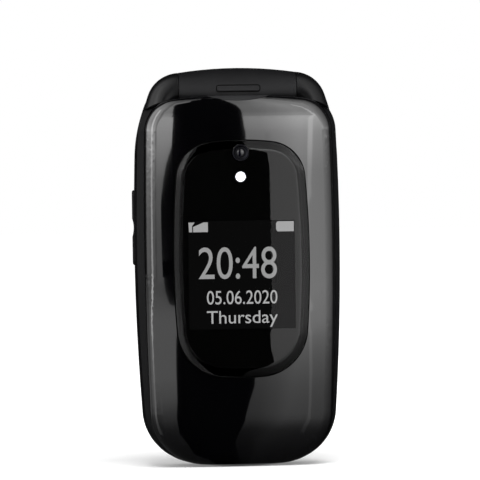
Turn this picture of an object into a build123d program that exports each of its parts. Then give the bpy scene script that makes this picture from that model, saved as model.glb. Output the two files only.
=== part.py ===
from build123d import *
from math import asin, cos, degrees, radians, sin, tan
import os

os.makedirs("parts", exist_ok=True)

# Closed flip phone standing on its lower end: X across, Y from the lid to the back, Z up.
# All sizes are in millimetres. The lid closes on the plane y = 0.

# ---- Outer form -----------------------------------------------------------------------
phone_width = 53.5
phone_height = 103.0
lid_depth = 9.1
base_depth = 9.9
closing_gap = 0.3
widest_share = 0.563
side_radius = 640.0
bottom_radius = 80.0
foot_sink = 0.18
bottom_corner = 14.0
base_top_radius = 400.0
base_top_corner = 6.0
shoulder_drop = 7.8
shoulder_angle = 18.0
shoulder_inset = 1.83
shoulder_blend = 40.0

# ---- Hinge ------------------------------------------------------------------------------
barrel_radius = 5.2
barrel_end_radius = 4.07
barrel_side_room = 11.55
barrel_joint_gap = 0.15
barrel_turn_clearance = 0.3
knuckle_turn_clearance = 0.15
horn_overlap = 0.35
horn_bend = 4.43
horn_back_step = 3.7
horn_length = 9.2
pin_radius = 1.5
pin_clearance = 0.03
pin_length = 8.0
cartridge_radius = 2.9
cartridge_length = 13.0
cam_shaft_radius = 1.1
cam_shaft_reach = 7.8
cam_head_across = 3.2
cam_head_length = 3.8
cam_head_play = 0.06
tab_width = 10.9
tab_height = 1.35
tab_rise = 0.35
tab_drop = 0.2

# ---- Lid --------------------------------------------------------------------------------
cover_side_step = 1.95
cover_side_radius = 1000.0
cover_top_radius = 152.0
cover_top_drop = 1.4
cover_top_corner = 9.1
cover_start_y = -2.4
cover_crown = 130.0
cover_edge = 3.6
cover_wall = 1.3
cover_face_crown = 900.0
cover_roll_bottom = 12.0
cover_bottom_roll_radius = 28.0
cover_roll_top = 6.0
cover_top_roll_radius = 8.0
scoop_width = 20.0
scoop_depth = 1.9
scoop_recess = 0.35
frame_side_step = 0.35
frame_top_rise = 1.2
frame_wall = 1.2
frame_rim = 1.6

# ---- Outer window, camera, torch and outer display ------------------------------------------
window_side_margin = 7.4
window_bottom_z = 23.3
window_top_drop = 13.7
window_side_radius = 260.0
window_end_radius = 70.0
window_top_corner = 9.5
window_bottom_corner = 12.5
window_crown = 700.0
window_gap = 0.28
window_thickness = 1.65
window_proud = 0.15
window_bevel = 2.0
window_bevel_drop = 0.45
window_ledge_width = 0.9
window_ledge_thickness = 0.8
camera_drop = 3.1
camera_ring_radius = 2.1
camera_ring_bore = 1.45
camera_lens_radius = 1.25
camera_body = 6.5
torch_drop = 6.2
torch_radius = 1.4
outer_display_side = 3.5
outer_display_height = 27.9
outer_display_drop = 4.1
outer_display_border = 1.6
outer_display_thickness = 1.5

# ---- Inner side of the lid ---------------------------------------------------------------
main_display_side = 2.15
main_display_height = 49.0
main_display_drop = 0.5
main_display_border = 0.9
main_display_thickness = 1.5
main_window_side = 4.1
main_window_bottom_z = 14.0
main_window_top_drop = 12.4
main_window_corner = 3.5
main_window_thickness = 0.7
earpiece_drop = 8.1
earpiece_slot = (11.0, 2.0)
earpiece_height = 5.2
earpiece_flex_gap = 1.2
earpiece_thickness = 2.2
mesh_thickness = 0.25
pane_gap = 0.15
lid_board_thickness = 0.7
lid_board_spacing = 0.5
lid_board_side = 4.3
lid_board_bottom = 14.0
lid_board_top_drop = 9.4
bumper_rise = 0.25
magnet_z = 8.0
magnet_radius = 2.0
magnet_thickness = 0.9
lid_boss_radius = 1.5
lid_screw_length = 4.6
flex_end_gap = 6.6
flex_width = 4.4
flex_radius = 2.6
flex_thickness = 0.3
flex_room_radius = 3.3
lid_screw_side = 2.4
lid_screw_low_z = 24.0
lid_screw_top_drop = 16.4

# ---- Base -------------------------------------------------------------------------------
base_split_y = 3.4
base_wall = 1.5
front_draft = 0.28
back_edge = 4.4
back_flat_drop = 19.8
back_top_radius = 60.0
board_thickness = 0.9
key_face_wall = 0.9
key_side_margin = 3.3
key_block_bottom_z = 11.45
key_web = 1.0
key_corner = 1.8
key_clearance = 0.15
key_flange = 0.35
key_flange_thickness = 0.4
key_seat_gap = 0.05
key_play = 0.3
plunger_length = 0.5
nav_gap = 2.35
plunger_radius = 1.2
nav_drop = 24.3
side_key_room = 15.05
nav_height = 21.0
nav_corner = 7.5
ok_width = 11.0
ok_height = 9.4
ok_corner = 3.0
key_chamfer = 0.3
dome_radius = 2.0
dome_rise = 0.25
dome_sheet_thickness = 0.15

# ---- Volume rocker -----------------------------------------------------------------------
rocker_drop = 35.8
rocker_length = 19.4
rocker_saddle_radius = 7.0
rocker_saddle_depth = 0.4
rocker_depth = 3.0
rocker_rise = 0.5
rocker_body = 2.3
rocker_clearance = 0.15
rocker_skin = 0.2
rocker_room_depth = 2.4
trunnion_radius = 0.6
trunnion_length = 0.9

# ---- Power, sockets and small pieces in the base ------------------------------------------
battery_side_room = 9.55
battery_bottom_z = 12.0
battery_top_drop = 33.8
battery_floor_gap = 0.8
battery_slack = 0.3
bay_wall = 1.0
bay_floor = 0.5
cover_plate_wall = 1.0
cover_plate_inset = 5.0
cover_plate_drop = 20.8
cover_plate_gap = 0.15
cover_plate_corner = 6.0
notch_radius = 4.2
notch_depth = 1.1
grip_slots = 3
grip_slot_width = 0.9
grip_slot_length = 12.0
grip_slot_pitch = 2.2
grip_slot_depth = 0.35
grip_from_top = 7.0
low_screw_share = 0.565
low_screw_z = 8.6
high_screw_side = 6.05
high_screw_drop = 9.6
screw_head_radius = 1.25
screw_shank_radius = 0.7
screw_tip_y = 1.8
screw_head_sink = 3.3
screw_head_depth = 1.0
lid_screw_head_depth = 0.8
plug_depth = 2.0
socket_clearance = 0.2
contact_side = 8.0
contact_width = 9.0
contact_height = 3.0
contact_sink = 2.9
card_x = -8.0
card_rise = 7.2
card_width = 17.0
card_height = 11.0
card_thickness = 1.8
card_lip = 1.5
card_sheet = 0.3
can_x = -7.0
can_drop = 16.0
can_width = 24.0
can_length = 9.0
can_height = 1.4
can_sheet = 0.3
microphone_place = (7.0, 7.0)
microphone_radius = 1.8
lid_switch_place = (-7.0, 7.0)
lid_switch_size = (2.9, 0.9, 1.6)
switch_gap = 0.4
switch_nub = 0.4
switch_depth = 2.4
switch_height = 1.4
switch_length = 3.6
board_inset = 3.6
board_notch_radius = 2.4
board_top_drop = 11.0
motor_radius = 1.9
motor_length = 9.5
motor_z = 7.6
antenna_top_z = 15.0
antenna_width = 1.7
antenna_thickness = 0.5
jack_wall = 0.38
jack_mouth_sink = 1.55
jack_nose = 3.0
usb_mouth_sink = 0.85
jack_drop = 15.8
jack_radius = 1.8
jack_depth = 12.0
jack_body = 4.4
boss_radius = 2.0
plug_radius = 1.9
usb_z = 30.0
usb_width = 7.6
usb_height = 2.6
usb_depth = 5.2
speaker_width = 16.0
speaker_height = 10.0
speaker_thickness = 2.0
speaker_sink = 2.7
speaker_x = -7.0
speaker_drop = 13.8
grille_slots = 5


# ---- Places worked out from the sizes -------------------------------------------------------
lid_inner_y = -closing_gap / 2
base_face_y = closing_gap / 2
lid_front_y = -lid_depth
hinge_z = phone_height - barrel_radius
widest_z = widest_share * phone_height
shoulder_z = hinge_z - shoulder_drop
barrel_half_length = phone_width / 2 - barrel_side_room
cover_half_width = phone_width / 2 - cover_side_step
cover_top_z = hinge_z - cover_top_drop
frame_half_width = phone_width / 2 - frame_side_step
window_width = 2 * (cover_half_width - window_side_margin)
window_top_z = hinge_z - window_top_drop
window_height = window_top_z - window_bottom_z
window_center_z = (window_top_z + window_bottom_z) / 2
camera_z = window_top_z - camera_drop
torch_z = camera_z - torch_drop
outer_display_width = window_width - 2 * outer_display_side
outer_display_z = window_center_z - outer_display_drop
main_window_width = 2 * (cover_half_width - main_window_side)
main_window_top_z = cover_top_z - main_window_top_drop
main_window_height = main_window_top_z - main_window_bottom_z
main_window_z = (main_window_top_z + main_window_bottom_z) / 2
main_display_width = main_window_width - 2 * main_display_side
main_display_z = main_window_z - main_display_drop
earpiece_z = cover_top_z - earpiece_drop
lid_board_half_width = cover_half_width - lid_board_side
lid_board_top = cover_top_z - lid_board_top_drop
lid_screw_x = cover_half_width - lid_screw_side
lid_screw_rows = (lid_screw_low_z, cover_top_z - lid_screw_top_drop)
lid_screw_places = [(x, z) for x in (-lid_screw_x, lid_screw_x) for z in lid_screw_rows]
flex_x = barrel_half_length - flex_end_gap
nav_center_z = hinge_z - nav_drop
nav_width = phone_width - 2 * side_key_room
key_pitch_x = (phone_width - 2 * key_side_margin) / 3
key_pitch_z = (nav_center_z - nav_height / 2 - nav_gap - key_block_bottom_z) / 4
number_row_z = key_block_bottom_z + key_pitch_z / 2
rocker_z = hinge_z - rocker_drop
low_screw_x = phone_width / 2 * low_screw_share
high_screw_x = phone_width / 2 - high_screw_side
low_screw_places = [(x, low_screw_z) for x in (-low_screw_x, low_screw_x)]
high_screw_places = [(x, hinge_z - high_screw_drop) for x in (-high_screw_x, high_screw_x)]
screw_head_y = base_depth - screw_head_sink
plug_seat_y = base_depth - plug_depth
cover_plate_top = hinge_z - cover_plate_drop
knuckle_radius = barrel_radius + barrel_turn_clearance - knuckle_turn_clearance
flange_back_y = base_face_y + key_face_wall + key_seat_gap + key_flange_thickness
dome_top_y = flange_back_y + plunger_length + key_play
board_front_y = dome_top_y + dome_rise + dome_sheet_thickness
board_back_y = board_front_y + board_thickness
cover_plate_y = base_depth - cover_plate_wall
battery_width = phone_width - 2 * battery_side_room
battery_top_z = hinge_z - battery_top_drop
battery_height = battery_top_z - battery_bottom_z
battery_z = (battery_top_z + battery_bottom_z) / 2
battery_back_y = cover_plate_y - battery_slack
battery_front_y = board_back_y + battery_floor_gap
contact_x = battery_width / 2 - contact_side
contact_back_y = base_depth - contact_sink
card_z = battery_top_z + card_rise
can_z = hinge_z - can_drop
jack_z = hinge_z - jack_drop
jack_mouth_x = phone_width / 2 - jack_mouth_sink
jack_body_end_x = jack_mouth_x - jack_nose
usb_mouth_x = phone_width / 2 - usb_mouth_sink
speaker_z = hinge_z - speaker_drop
speaker_back_y = base_depth - speaker_sink
rocker_front_x = -phone_width / 2 - rocker_rise
bay_floor_y = battery_front_y - 0.1
cavity_top_z = hinge_z - barrel_radius - barrel_turn_clearance - base_wall
cavity_back_y = base_depth - base_wall
board_top_z = hinge_z - board_top_drop


def slab(sketch, front_y, back_y, taper=0.0):
    """Solid between two depths under a front-view sketch; a taper narrows it towards the front."""
    return extrude(Plane.XZ.offset(-back_y) * sketch, amount=back_y - front_y, taper=taper)


def disc(radius, x, z):
    return Pos(x, z) * Circle(radius)


def rounded(width, height, corner, x=0.0, z=0.0):
    return Pos(x, z) * RectangleRounded(width, height, corner)


def side_profile(wire, half_width):
    """Prism across the phone from a closed line drawn in the side view."""
    return extrude(Plane.YZ * make_face(wire), amount=half_width, both=True)


def round_bar(radius, x_from, x_to, y=0.0, z=hinge_z):
    """Round bar along the hinge direction."""
    plane = Plane(origin=(x_from, y, z), x_dir=(0, 1, 0), z_dir=(1, 0, 0))
    return extrude(plane * Circle(radius), amount=x_to - x_from)


def studs(radius, places, front_y, back_y):
    """Round pillars along the depth at each (x, z) place."""
    return [slab(disc(radius, x, z), front_y, back_y) for x, z in places]


def four_arcs(half_width, middle_z, bottom_z, top_z, sides, bottom, top, inset=0.0):
    """Upright area between four flat arcs, widest at middle_z, drawn in by an inset all round."""
    face = disc(bottom - inset, 0, bottom_z + bottom) & disc(top - inset, 0, top_z - top)
    face = face & disc(sides - inset, half_width - sides, middle_z)
    return face & disc(sides - inset, sides - half_width, middle_z)


def round_corners(face, bottom_round, top_round):
    """Rounds the two lowest and the two highest corners of an outline."""
    face = fillet(face.vertices().sort_by(Axis.Y)[:2], bottom_round)
    return fillet(face.vertices().sort_by(Axis.Y)[-2:], top_round)


# ---- Base: outline and outer form -----------------------------------------------------------
def shoulder_mask(inset):
    """Area between the two sloping shoulder lines."""
    lean = radians(shoulder_angle)
    at_shoulder = phone_width / 2 - shoulder_inset - inset / cos(lean)
    low = at_shoulder + (shoulder_z + phone_height) * tan(lean)
    high = at_shoulder - (phone_height - shoulder_z) * tan(lean)
    corners = [(-low, -phone_height), (low, -phone_height), (high, phone_height), (-high, phone_height)]
    return make_face(Polyline(*corners, close=True))


def base_outline(inset=0.0):
    """Front-view outline of the base up to the hinge line, drawn in at its shoulders."""
    face = four_arcs(
        phone_width / 2, widest_z, -foot_sink, hinge_z, side_radius, bottom_radius, base_top_radius, inset
    )
    face = face & shoulder_mask(inset)
    face = fillet(face.vertices().sort_by(Axis.Y)[2:4], shoulder_blend - inset)
    return round_corners(face, bottom_corner - inset, base_top_corner - inset)


def back_profile(inset):
    """Side view of the back: straight, then curving forward towards the hinge."""
    back = base_depth - inset
    radius = back_top_radius - inset
    flat_top = hinge_z - back_flat_drop
    line = Line((0, -1), (back, -1)) + Line((back, -1), (back, flat_top))
    rise = JernArc((back, flat_top), (0, 1), radius, 22.0)
    line = line + rise
    line = line + Polyline(rise @ 1, (0, (rise @ 1).Y), (0, -1))
    return side_profile(line, phone_width)


def back_form(inset=0.0):
    """Rear half of the base, behind the housing split, with its rounded back edge."""
    form = slab(base_outline(inset), base_split_y, base_depth + 1) & back_profile(inset)
    rim = form.edges().filter_by(lambda e: e.center().Y > base_split_y + 1.5 and e.length > 3)
    return fillet(rim, back_edge - inset)


def horn(side):
    """Outer knuckle: a rounded bar that bends from the hinge line down into the base's side."""
    start_x = barrel_half_length - horn_overlap
    bend_z = hinge_z - horn_bend
    arc = CenterArc((start_x, bend_z), horn_bend, 90, shoulder_angle - 90)
    lean = radians(shoulder_angle)
    run = (horn_length - horn_bend + horn_bend * sin(lean)) / cos(lean)
    path = arc + Line(arc @ 1, arc @ 1 + (arc % 1) * run)
    deep = barrel_end_radius + base_depth - horn_back_step
    section = Plane.YZ.offset(start_x) * Pos(deep / 2 - barrel_end_radius, hinge_z) * SlotOverall(
        deep, 2 * barrel_end_radius
    )
    bar = sweep(section, Plane.XZ * path)
    turning_room = round_bar(knuckle_radius, start_x, phone_width)
    lid_space = Pos(phone_width / 2, -phone_width / 2 + base_face_y, hinge_z) * Box(
        phone_width, phone_width, phone_width
    )
    bar = bar - (lid_space - turning_room)
    bar = bar - Pos(barrel_half_length + barrel_joint_gap - 5, 0, hinge_z) * Box(10, 30, 30)
    return bar if side > 0 else mirror(bar, about=Plane.YZ)


def barrel_relief():
    """Room in the base for the lid's turning barrel, open at the top of the back."""
    reach = barrel_half_length + barrel_joint_gap
    room = round_bar(barrel_radius + barrel_turn_clearance, -reach, reach)
    above = Pos(0, base_depth / 2 + 1, hinge_z + 10) * Box(2 * reach, base_depth + 2, 20)
    return room + above


def knuckle_bores():
    """Pin bore in the right knuckle and keyed socket for the cam shaft in the left one."""
    start = barrel_half_length
    pin = round_bar(pin_radius, start, start + pin_length / 2)
    depth = cam_head_length + barrel_joint_gap + 2 * cam_head_play
    return pin + Pos(-start - depth / 2, 0, hinge_z) * Box(depth, cam_head_across, cam_head_across)


# ---- Keys -----------------------------------------------------------------------------------
def key_layout():
    """Size and place of every key by name: (width, height, corner, x, z)."""
    width = key_pitch_x - key_web
    height = key_pitch_z - key_web
    names = ["star", "zero", "hash", "seven", "eight", "nine", "four", "five", "six", "one", "two", "three"]
    layout = {}
    for index, name in enumerate(names):
        x = (index % 3 - 1) * key_pitch_x
        z = number_row_z + index // 3 * key_pitch_z
        layout[name + "_key"] = (width, height, key_corner, x, z)
    outer_x = key_pitch_x + width / 2
    inner_x = nav_width / 2 + key_web
    side_height = (nav_height - key_web) / 2
    for name, across, up in [("soft_left", -1, 1), ("soft_right", 1, 1), ("call", -1, -1), ("end", 1, -1)]:
        x = across * (inner_x + outer_x) / 2
        z = nav_center_z + up * (side_height + key_web) / 2
        layout[name + "_key"] = (outer_x - inner_x, side_height, key_corner, x, z)
    layout["nav_ring"] = (nav_width, nav_height, nav_corner, 0, nav_center_z)
    inner = 2 * key_clearance
    layout["ok_key"] = (ok_width - inner, ok_height - inner, ok_corner, 0, nav_center_z)
    return layout


def grown(size, grow):
    """Rounded rectangle of a key's size, larger all round."""
    width, height, corner, x, z = size
    return rounded(width + 2 * grow, height + 2 * grow, corner + grow, x, z)


def plunger_places(name, size):
    """One plunger behind the middle of a key, or one behind each arm of the ring."""
    width, height, corner, x, z = size
    if name != "nav_ring":
        return [(x, z)]
    x_arm, z_arm = (nav_width + ok_width) / 4, (nav_height + ok_height) / 4
    return [(x - x_arm, z), (x + x_arm, z), (x, z - z_arm), (x, z + z_arm)]


def key_solid(name, size):
    """Cap with a softened front edge, a retaining flange behind the face, and its plungers."""
    flange_y = base_face_y + key_face_wall + key_seat_gap
    cap = slab(grown(size, 0), base_face_y, flange_y)
    rim = 0 if name == "ok_key" else key_flange
    flange = slab(grown(size, rim), flange_y, flange_back_y)
    if name == "nav_ring":
        hole = slab(rounded(ok_width, ok_height, ok_corner, 0, nav_center_z), -1, base_depth)
        cap, flange = cap - hole, flange - hole
    front = cap.faces().sort_by(Axis.Y)[0]
    key = chamfer(front.edges(), key_chamfer) + flange
    places = plunger_places(name, size)
    return add_all(key, studs(plunger_radius, places, flange_y, dome_top_y - key_play))


def key_openings():
    """Holes in the keypad face, one for each key and one for the ring with its centre key."""
    back_y = base_face_y + key_face_wall + 0.02
    sizes = [size for name, size in key_layout().items() if name != "ok_key"]
    return [slab(grown(size, key_clearance), -1, back_y) for size in sizes]


# ---- Base pieces ----------------------------------------------------------------------------
def rocker_outline(grow=0.0):
    """Side-view outline of the rocker's slot."""
    return Pos(base_split_y, rocker_z) * RectangleRounded(
        rocker_depth + 2 * grow, rocker_length + 2 * grow, rocker_depth / 2 - 0.1
    )


def rocker_pivot():
    """The rocker's pivot place (x, z)."""
    return rocker_front_x + rocker_body - trunnion_radius - rocker_skin, rocker_z


def volume_rocker():
    """Two pads joined by a lower saddle, rocking on a pair of trunnions."""
    plane = Plane(origin=(rocker_front_x, 0, 0), x_dir=(0, 1, 0), z_dir=(1, 0, 0))
    body = extrude(plane * rocker_outline(), amount=rocker_body)
    body = chamfer(body.faces().sort_by(Axis.X)[0].edges(), 0.25)
    saddle_x = rocker_front_x - rocker_saddle_radius + rocker_saddle_depth
    body = body - Pos(saddle_x, base_split_y, rocker_z) * Cylinder(
        rocker_saddle_radius, 3 * rocker_depth, rotation=(90, 0, 0)
    )
    half = rocker_depth / 2 + trunnion_length
    x, z = rocker_pivot()
    return body + slab(disc(trunnion_radius, x, z), base_split_y - half, base_split_y + half)


def rocker_room():
    """Slot through the side wall, space behind it and the two trunnion holes."""
    plane = Plane(origin=(-phone_width, 0, 0), x_dir=(0, 1, 0), z_dir=(1, 0, 0))
    reach = phone_width / 2 + rocker_rise + rocker_room_depth
    slot = extrude(plane * rocker_outline(rocker_clearance), amount=reach)
    half = rocker_depth / 2 + trunnion_length + rocker_clearance
    x, z = rocker_pivot()
    return slot + slab(disc(trunnion_radius + 0.05, x, z), base_split_y - half, base_split_y + half)


def capped(face, top_z):
    """The part of a front-view area under a height."""
    return face & Pos(0, top_z - phone_height) * Rectangle(2 * phone_width, 2 * phone_height)


def below(shape, z):
    """The part of a shape under a height."""
    return shape & Pos(0, 0, z - phone_height) * Box(200, 200, 2 * phone_height)


def on_foot(shape):
    """The part of a shape above the flat foot at z = 0."""
    return shape & Pos(0, 0, phone_height) * Box(200, 200, 2 * phone_height)


def depth_part(shape, front_y, back_y):
    """The part of a shape between two depths."""
    return shape & Pos(0, (front_y + back_y) / 2, 0) * Box(200, back_y - front_y, 400)


def add_all(shape, others):
    for other in others:
        shape = shape + other
    return shape


def cut_all(shape, others):
    for other in others:
        shape = shape - other
    return shape


def plate_outline(grow=0.0):
    """Battery cover outline: follows the back's flat area up to cover_plate_top."""
    face = capped(base_outline(cover_plate_inset - grow), cover_plate_top + grow)
    return fillet(face.vertices().sort_by(Axis.Y)[-2:], cover_plate_corner + grow)


def base_front_housing():
    """Keypad housing with both outer knuckles of the hinge."""
    face = Plane.XZ.offset(-base_face_y) * base_outline(front_draft)
    shell = loft([Plane.XZ.offset(-base_split_y) * base_outline(), face], ruled=True)
    room = slab(base_outline(base_wall), base_face_y + key_face_wall, base_split_y + 1)
    shell = shell - below(room, cavity_top_z)
    shell = shell - barrel_relief()
    for side in (-1, 1):
        shell = shell + depth_part(horn(side), -20, base_split_y)
    pillar_y = base_face_y + key_face_wall - 0.1
    places = low_screw_places + high_screw_places
    shell = add_all(shell, studs(boss_radius, places, pillar_y, base_split_y))
    shell = cut_all(shell, studs(screw_shank_radius, places, screw_tip_y - 0.2, base_split_y))
    shell = cut_all(shell, key_openings())
    shell = shell - slab(disc(0.5, *microphone_place), -1, 2)
    shell = shell - rocker_room()
    return on_foot(shell - knuckle_bores())


def base_rear_housing():
    """Back shell with battery bay, deck under the battery cover, sockets and screw wells."""
    shell = back_form() - below(back_form(base_wall), cavity_top_z)
    deck = slab(plate_outline(bay_wall), cavity_back_y - 0.2, base_depth)
    bay = rounded(battery_width + 2 * bay_wall, battery_height + 2 * bay_wall, 2.5, 0, battery_z)
    shell = shell + depth_part(deck, 0, cover_plate_y)
    shell = shell + slab(bay, bay_floor_y - bay_floor, cover_plate_y)
    shell = shell - barrel_relief()
    for side in (-1, 1):
        shell = shell + depth_part(horn(side), base_split_y, base_depth)
    places = low_screw_places + high_screw_places
    shell = add_all(shell, [
        slab(disc(boss_radius + 0.2, x, z), base_split_y, cover_plate_y - 0.3) for x, z in places
    ])
    shell = shell - slab(plate_outline(cover_plate_gap), cover_plate_y, base_depth + 1)
    hollow = rounded(battery_width + 0.4, battery_height + 0.4, 1.7, 0, battery_z)
    shell = shell - slab(hollow, bay_floor_y, base_depth + 1)
    shell = cut_all(shell, studs(screw_shank_radius + 0.1, places, 0, screw_head_y))
    shell = cut_all(shell, studs(screw_head_radius + 0.15, places, screw_head_y, base_depth + 1))
    shell = cut_all(shell, studs(plug_radius + 0.05, high_screw_places, plug_seat_y, base_depth + 1))
    shell = shell - contact_window() - card_window()
    shell = shell - usb_opening() - jack_opening()
    shell = cut_all(shell, grille_cuts())
    shell = shell - rocker_room()
    shell = shell - nail_notch()
    return on_foot(shell - knuckle_bores())


def contact_window():
    """Opening in the bay's upper wall and floor for the battery contacts."""
    top = battery_z + battery_height / 2
    return Pos(contact_x, (board_back_y + contact_back_y) / 2, top + bay_wall / 2) * Box(
        contact_width + 0.3, contact_back_y - board_back_y + 0.6, bay_wall + 1.4
    )


def card_window():
    """Opening in the deck over the card socket."""
    width, height = card_width - 2 * card_lip, card_height - 2 * card_lip
    return slab(rounded(width, height, 1.0, card_x, card_z), bay_floor_y - 1, base_depth)


def usb_opening():
    across, along = usb_height + 2 * socket_clearance, usb_width + 2 * socket_clearance
    center_y = board_back_y + usb_height / 2
    return Pos(phone_width / 2, center_y, usb_z) * Box(2 * usb_depth, across, along)


def jack_y():
    return board_back_y + jack_body / 2


def jack_opening():
    return round_bar(jack_radius + jack_wall + socket_clearance, 20, phone_width, jack_y(), jack_z)


def grille_cuts():
    """Slots over the loudspeaker."""
    cuts = []
    for index in range(grille_slots):
        x = speaker_x + (index - (grille_slots - 1) / 2) * 2.4
        slot = Pos(x, speaker_z) * SlotOverall(speaker_height - 3, 1.1, rotation=90)
        cuts.append(slab(slot, cavity_back_y - 2, base_depth + 1))
    return cuts


def nail_notch():
    """Crescent under the battery cover's lower edge, where a fingernail lifts it."""
    low_z = plate_outline().bounding_box().min.Y
    return Pos(0, base_depth + notch_radius - notch_depth, low_z) * Sphere(notch_radius)


def battery_cover():
    """Back plate with a softened rim and three grip slots for the thumb."""
    plate = slab(plate_outline(), cover_plate_y + 0.02, base_depth)
    back = plate.faces().sort_by(Axis.Y)[-1]
    plate = chamfer(back.edges(), 0.3)
    for index in range(grip_slots):
        z = cover_plate_top - grip_from_top - index * grip_slot_pitch
        slot = Pos(0, z) * SlotOverall(grip_slot_length, grip_slot_width)
        plate = plate - slab(slot, base_depth - grip_slot_depth, base_depth + 1)
    return plate


def battery():
    """Pack with softened corners and a contact strip recess at its top end."""
    pack = slab(rounded(battery_width, battery_height, 1.5, 0, battery_z), battery_front_y, battery_back_y)
    ends = pack.faces().sort_by(Axis.Y)
    pack = chamfer([ends[0].edges(), ends[-1].edges()], 0.4)
    strip = Box(contact_width - 1, 1.6, 0.5)
    return pack - Pos(contact_x, battery_front_y + 1.5, battery_z + battery_height / 2) * strip


def board_outline(inset):
    """Outline inside the base's walls, under the hinge."""
    return capped(base_outline(inset), board_top_z)


def main_board():
    """Circuit board with notches round the screw pillars."""
    board = slab(board_outline(board_inset), board_front_y, board_back_y)
    notches = studs(board_notch_radius, low_screw_places + high_screw_places, 0, base_depth)
    return cut_all(board, notches)


def dome_sheet():
    """Film over the board with one snap dome under each plunger."""
    top = nav_center_z + nav_height / 2 + 1.5
    film = capped(board_outline(board_inset + 0.6), top)
    film = film - capped(film, number_row_z - key_pitch_z / 2)
    notches = studs(board_notch_radius, low_screw_places, 0, base_depth)
    sheet = cut_all(slab(film, board_front_y - dome_sheet_thickness, board_front_y), notches)
    for name, size in key_layout().items():
        for x, z in plunger_places(name, size):
            dome = slab(disc(dome_radius, x, z), dome_top_y, board_front_y - dome_sheet_thickness, 60)
            sheet = sheet + dome
    return sheet


def base_screws():
    """Four pan-head screws from the back into the keypad housing."""
    screws = []
    for x, z in low_screw_places + high_screw_places:
        head = slab(disc(screw_head_radius, x, z), screw_head_y, screw_head_y + screw_head_depth)
        cross = Pos(x, screw_head_y + screw_head_depth, z) * Box(1.6, 0.8, 0.35)
        cross = cross + Pos(x, screw_head_y + screw_head_depth, z) * Box(0.35, 0.8, 1.6)
        shank = slab(disc(screw_shank_radius - 0.02, x, z), screw_tip_y, screw_head_y)
        screws.append(head + shank - cross)
    return screws


def screw_plugs():
    """Soft plugs that close the two upper screw wells flush with the back."""
    form = back_form()
    return [stud & form for stud in studs(plug_radius, high_screw_places, plug_seat_y, base_depth + 1)]


def battery_contacts():
    """Contact block with three sprung blades."""
    z = battery_z + battery_height / 2 + 0.4 + contact_height / 2
    block = Pos(contact_x, (board_back_y + contact_back_y) / 2, z) * Box(
        contact_width, contact_back_y - board_back_y, contact_height
    )
    for index in range(3):
        x = contact_x + (index - 1) * 2.6
        slot = Pos(x, battery_front_y + 1.5, z - contact_height / 2) * Box(1.0, 1.2, 0.8)
        block = block - slot
    return block


def card_socket():
    """Metal tray frame for the subscriber card, open towards the back."""
    back_y = board_back_y + card_thickness
    floor_y = board_back_y + 2 * card_sheet
    tray = slab(rounded(card_width, card_height, 0.6, card_x, card_z), board_back_y, back_y)
    inside = rounded(card_width - 4 * card_sheet, card_height - 4 * card_sheet, 0.5, card_x, card_z)
    window = rounded(card_width - 4 * card_lip, card_height - 4 * card_lip, 0.5, card_x, card_z)
    return tray - slab(inside, floor_y, back_y - card_sheet) - slab(window, floor_y, back_y + 1)


def shield_can():
    """Folded metal can over the radio circuits."""
    back_y = board_back_y + can_height
    can = slab(rounded(can_width, can_length, 1.0, can_x, can_z), board_back_y, back_y)
    inner = rounded(can_width - 2 * can_sheet, can_length - 2 * can_sheet, 0.7, can_x, can_z)
    return can - slab(inner, board_back_y - 1, back_y - can_sheet)


def loudspeaker():
    """Loudspeaker capsule with a stepped frame, close behind the grille."""
    frame = rounded(speaker_width, speaker_height, 2.5, speaker_x, speaker_z)
    cone = rounded(speaker_width - 3, speaker_height - 3, 2.0, speaker_x, speaker_z)
    body = slab(frame, speaker_back_y - speaker_thickness, speaker_back_y)
    return body - slab(cone, speaker_back_y - 0.5, speaker_back_y + 1)


def charging_socket():
    """Socket shell with its tongue, open at the right side wall."""
    outer_x = usb_mouth_x
    center_y = board_back_y + usb_height / 2
    center_x = outer_x - usb_depth / 2
    shell = Pos(center_x, center_y, usb_z) * Box(usb_depth, usb_height, usb_width)
    mouth = Pos(center_x + 0.5, center_y, usb_z) * Box(usb_depth, usb_height - 0.7, usb_width - 0.7)
    tongue = Pos(center_x - 0.1, center_y + 0.25, usb_z) * Box(usb_depth - 0.6, 0.6, usb_width - 2.6)
    return shell - mouth + tongue


def headphone_socket():
    """Square body with a round nose that reaches the right side wall."""
    inner_x = jack_mouth_x - jack_depth - 1.0
    length = jack_body_end_x - inner_x
    body = Pos(inner_x + length / 2, jack_y(), jack_z) * Box(length, jack_body, jack_body)
    nose = round_bar(jack_radius + jack_wall, inner_x + length, jack_mouth_x, jack_y(), jack_z)
    bore = round_bar(jack_radius, jack_mouth_x - jack_depth, jack_mouth_x + 1, jack_y(), jack_z)
    return body + nose - bore


def vibration_motor():
    """Motor can with its eccentric weight."""
    y = board_back_y + 0.1 + motor_radius
    can = round_bar(motor_radius, -motor_length / 2, motor_length / 2, y, motor_z)
    shaft = round_bar(0.4, motor_length / 2, motor_length / 2 + 3.2, y, motor_z)
    weight = round_bar(motor_radius - 0.1, motor_length / 2 + 0.6, motor_length / 2 + 3.0, y, motor_z)
    weight = weight - Pos(motor_length / 2 + 1.8, y, motor_z + motor_radius) * Box(4, 8, 2 * motor_radius)
    return can + shaft + weight


def antenna():
    """Thin strip that follows the inside of the lower wall."""
    outer = base_wall + 0.1
    strip = capped(base_outline(outer) - base_outline(outer + antenna_thickness), antenna_top_z)
    return slab(strip, board_back_y + 0.2, board_back_y + 0.2 + antenna_width)


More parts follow.
